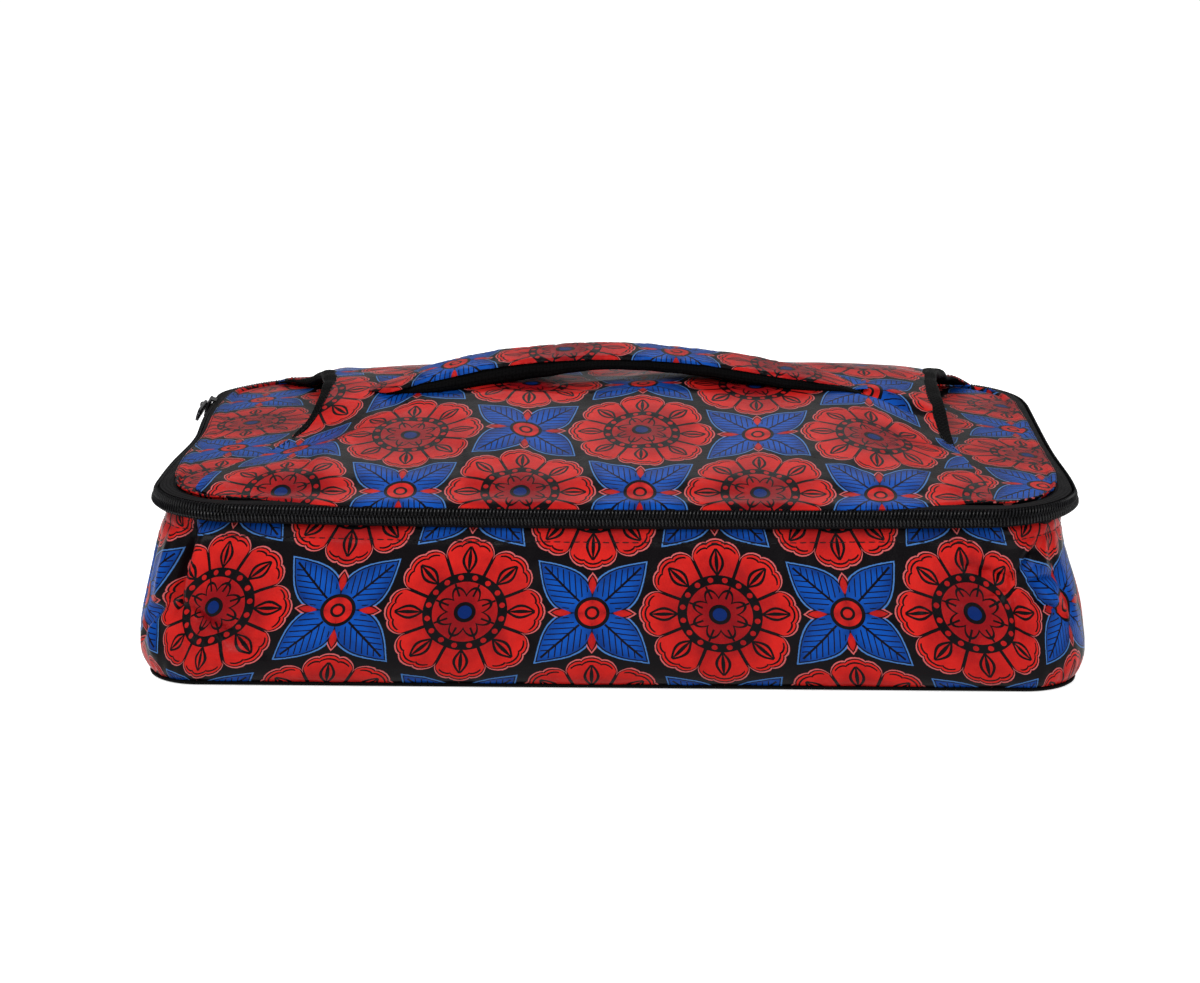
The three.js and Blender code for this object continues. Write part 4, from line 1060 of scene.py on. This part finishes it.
def pull_plate():
    """A flat pull with a rounded tip, bevelled edges and an eye at its root."""
    half_width, tip_y, middle_z, half_thickness, bevel = 3.0, -20.2, 5.363, 0.7, 0.2
    turn = np.linspace(0, -np.pi, 13)
    tip = np.column_stack([half_width * np.cos(turn), tip_y + half_width * np.sin(turn)])
    outer = np.vstack([[(-2.2, 0.8), (2.2, 0.8), (2.45, 0.5)], tip, [(-2.45, 0.5)]])
    eye = np.array([(-1.5, -0.8), (1.5, -0.8), (1.5, -5.2), (-1.5, -5.2)])
    near = [0, 1, 1] + [2] * 7 + [3] * 6 + [0]  # the eye's corner that each outer point looks at
    low, high = middle_z - half_thickness, middle_z + half_thickness
    outer_step, eye_step = np.sign(outer - (0, -10.0)), np.sign(eye - (0, -3.0))
    rings = []
    for z, grow in ((low, -bevel), (low + bevel, 0.0), (high - bevel, 0.0), (high, -bevel)):
        rings.append(at_height(np.vstack([outer + outer_step * grow, eye - eye_step * grow]), z))
    count, level = len(outer), len(outer) + len(eye)
    faces = []
    for loop, turned_in in ((range(count), 1), (range(count, level), -1)):
        for a, b in zip(loop, [*loop[1:], loop[0]]):
            sides = [[a + k, a + k + level, b + k + level, b + k] for k in range(0, 3 * level, level)]
            faces += [side[::turned_in] for side in sides]
    for a in range(count):
        b = (a + 1) % count
        flat = [a, b, count + near[b]] + ([count + near[a]] if near[a] != near[b] else [])
        faces += [flat, [3 * level + k for k in flat[::-1]]]
    return np.concatenate(rings), faces


slider_piece("pull", [pull_plate()], "zip_pull", "pull_tab")

stop_points, stop_faces = plate(box_shape(1.5, 0.9), -1.25, 1.25, 0.2)
stop_in, stop_z = zip_section(-1.85, 1.6)
for side, name in ((-1, "left"), (1, "right")):
    place = np.array([side * (RIM[0] - RIM[2] - 1.8), RIM[1] - stop_in, stop_z])
    uvs = [stop_points[f, :2] * MM for f in stop_faces]
    mesh_piece("stop_" + name, stop_points + place, stop_faces, uvs, METAL, "body", "zip_stop_" + name)


# Stitches: short rounded bars of thread, one after the other along a seam

# Shape of a stitch from end to end: share of its length, girth and lift by its radius
STITCH_SHARE = np.array([0.0, 0.06, 0.25, 0.5, 0.75, 0.94, 1.0])
STITCH_GIRTH = np.array([0.25, 0.75, 1.0, 1.0, 1.0, 0.75, 0.25])
STITCH_LIFT = np.array([-0.6, -0.15, 0.25, 0.4, 0.25, -0.15, -0.6])
STITCH_SIDES = 6


def stitches(name, path, away, body, pitch, length, thickness, closed=False):
    """Stitches along a row of points; away points out of the cloth at each of them."""
    if closed:
        path, away = np.vstack([path, path[:1]]), np.vstack([away, away[:1]])
    run = distances(path, False)
    count = int(run[-1] / pitch)
    start = (np.arange(count) + 0.5) * run[-1] / count - length / 2
    at = start[:, None] + length * STITCH_SHARE
    centre = np.stack([np.interp(at, run, path[:, k]) for k in range(3)], axis=2)
    out = unit(np.stack([np.interp(at, run, away[:, k]) for k in range(3)], axis=2))
    side = np.cross(out, unit(centre[:, -1] - centre[:, 0])[:, None])
    centre = centre + out * STITCH_LIFT[:, None] * thickness
    girth = STITCH_GIRTH[:, None] * thickness
    rings = [centre + girth * (np.cos(a) * side + np.sin(a) * out) for a in turns(STITCH_SIDES)]
    one = tube_faces(len(STITCH_SHARE), STITCH_SIDES)
    points, faces = joined([(bar.reshape(-1, 3), one) for bar in np.stack(rings, axis=2)])
    mesh_piece(name, points, faces, [points[f, :2] * MM for f in faces], THREAD, body)


wall_seam = wall_skin[:, list(heights).index(WALL_SEAM_Z)]
stitches("wall_stitches", wall_seam, at_height(RIM_N, 0), "body", 4.0, 2.9, 0.24, closed=True)
for name, line in binding_seams.items():
    stitches("binding_stitches_" + name, line, np.tile(UP, (len(line), 1)), "lid", 3.2, 2.3, 0.2)
hem_line = hem[3] + (hem[2] - hem[3]) * 0.6
stitches("lid_stitches", hem_line, np.tile(UP, (COUNT, 1)), "lid", 3.4, 2.6, 0.2, closed=True)


# Camera at the photograph's viewing angle, light and floor

PHOTO_WIDTH, FOCAL_PIXELS, SENSOR = 1200, 2975.7, 36.0
CAMERA_PLACE = (0.0275, -1.2878, 0.3783)
CAMERA_PITCH, CAMERA_YAW = np.radians(14.197), np.radians(-1.549)
WORLD_STRENGTH, FLOOR_COLOUR = 0.35, 0.9
FLOOR_HALF, FLOOR_Z = 12, -0.0004
scene = bpy.context.scene


def turned(right, up, back, place):
    matrix = np.eye(4)
    matrix[:3, :3] = np.column_stack([right, up, back])
    matrix[:3, 3] = place
    return Matrix(matrix.tolist())


def in_scene(name, data):
    item = bpy.data.objects.new(name, data)
    scene.collection.objects.link(item)
    return item


camera_data = bpy.data.cameras.new("camera")
camera_data.sensor_fit = "HORIZONTAL"
camera_data.sensor_width = SENSOR
camera_data.lens = SENSOR * FOCAL_PIXELS / PHOTO_WIDTH
camera_data.clip_end = 50
scene.camera = in_scene("camera", camera_data)
right = np.array([np.cos(CAMERA_YAW), -np.sin(CAMERA_YAW), 0])
level = np.array([np.sin(CAMERA_YAW), np.cos(CAMERA_YAW), 0])
forward = level * np.cos(CAMERA_PITCH) - UP * np.sin(CAMERA_PITCH)
scene.camera.matrix_world = turned(right, np.cross(right, forward), -forward, CAMERA_PLACE)


def area_light(name, place, aim, size, power):
    data = bpy.data.lights.new(name, "AREA")
    data.shape = "RECTANGLE"
    data.size, data.size_y = size
    data.energy = power
    back = unit(np.array(place, float) - np.array(aim, float))
    side = unit(np.cross(UP, back))
    in_scene(name, data).matrix_world = turned(side, np.cross(back, side), back, place)


area_light("key", (-0.9, -1.5, 1.7), (0, 0, 0.05), (1.2, 1.0), 34)
area_light("fill", (1.3, -1.7, 1.1), (0, 0, 0.05), (1.2, 1.2), 20)
area_light("rear", (0.2, 1.6, 1.7), (0, 0, 0.08), (2.0, 1.0), 14)

world = bpy.data.worlds.new("studio")
world.use_nodes = True
world.node_tree.nodes["Background"].inputs["Color"].default_value = (1.0, 1.0, 1.0, 1.0)
world.node_tree.nodes["Background"].inputs["Strength"].default_value = WORLD_STRENGTH
scene.world = world
scene.view_settings.view_transform = "Standard"

# The floor glows to white for the camera alone, so that no more light falls on the bag
floor_mesh = bpy.data.meshes.new("floor")
corners = [(x * FLOOR_HALF, y * FLOOR_HALF, FLOOR_Z) for x, y in ((-1, -1), (1, -1), (1, 1), (-1, 1))]
floor_mesh.from_pydata(corners, [], [(0, 1, 2, 3)])
floor_material, tree = new_material("pale_floor")
shader = tree.nodes["Principled BSDF"]
grey = (FLOOR_COLOUR, FLOOR_COLOUR, FLOOR_COLOUR)
for name, value in (("Base Color", grey), ("Roughness", 0.9), ("Specular IOR Level", 0.0)):
    put(shader.inputs[name], value)
ray = new_node(tree, "LightPath", {})
seen = any_of(*(Term(ray[f"Is {kind} Ray"]) for kind in ("Camera", "Glossy", "Transmission")))
glow = new_node(tree, "Emission", {"Strength": seen * (1 - FLOOR_COLOUR * WORLD_STRENGTH)})[0]
both = new_node(tree, "AddShader", {0: shader.outputs[0], 1: glow})[0]
put(tree.nodes["Material Output"].inputs["Surface"], both)
floor_mesh.materials.append(floor_material)
in_scene("floor", floor_mesh)
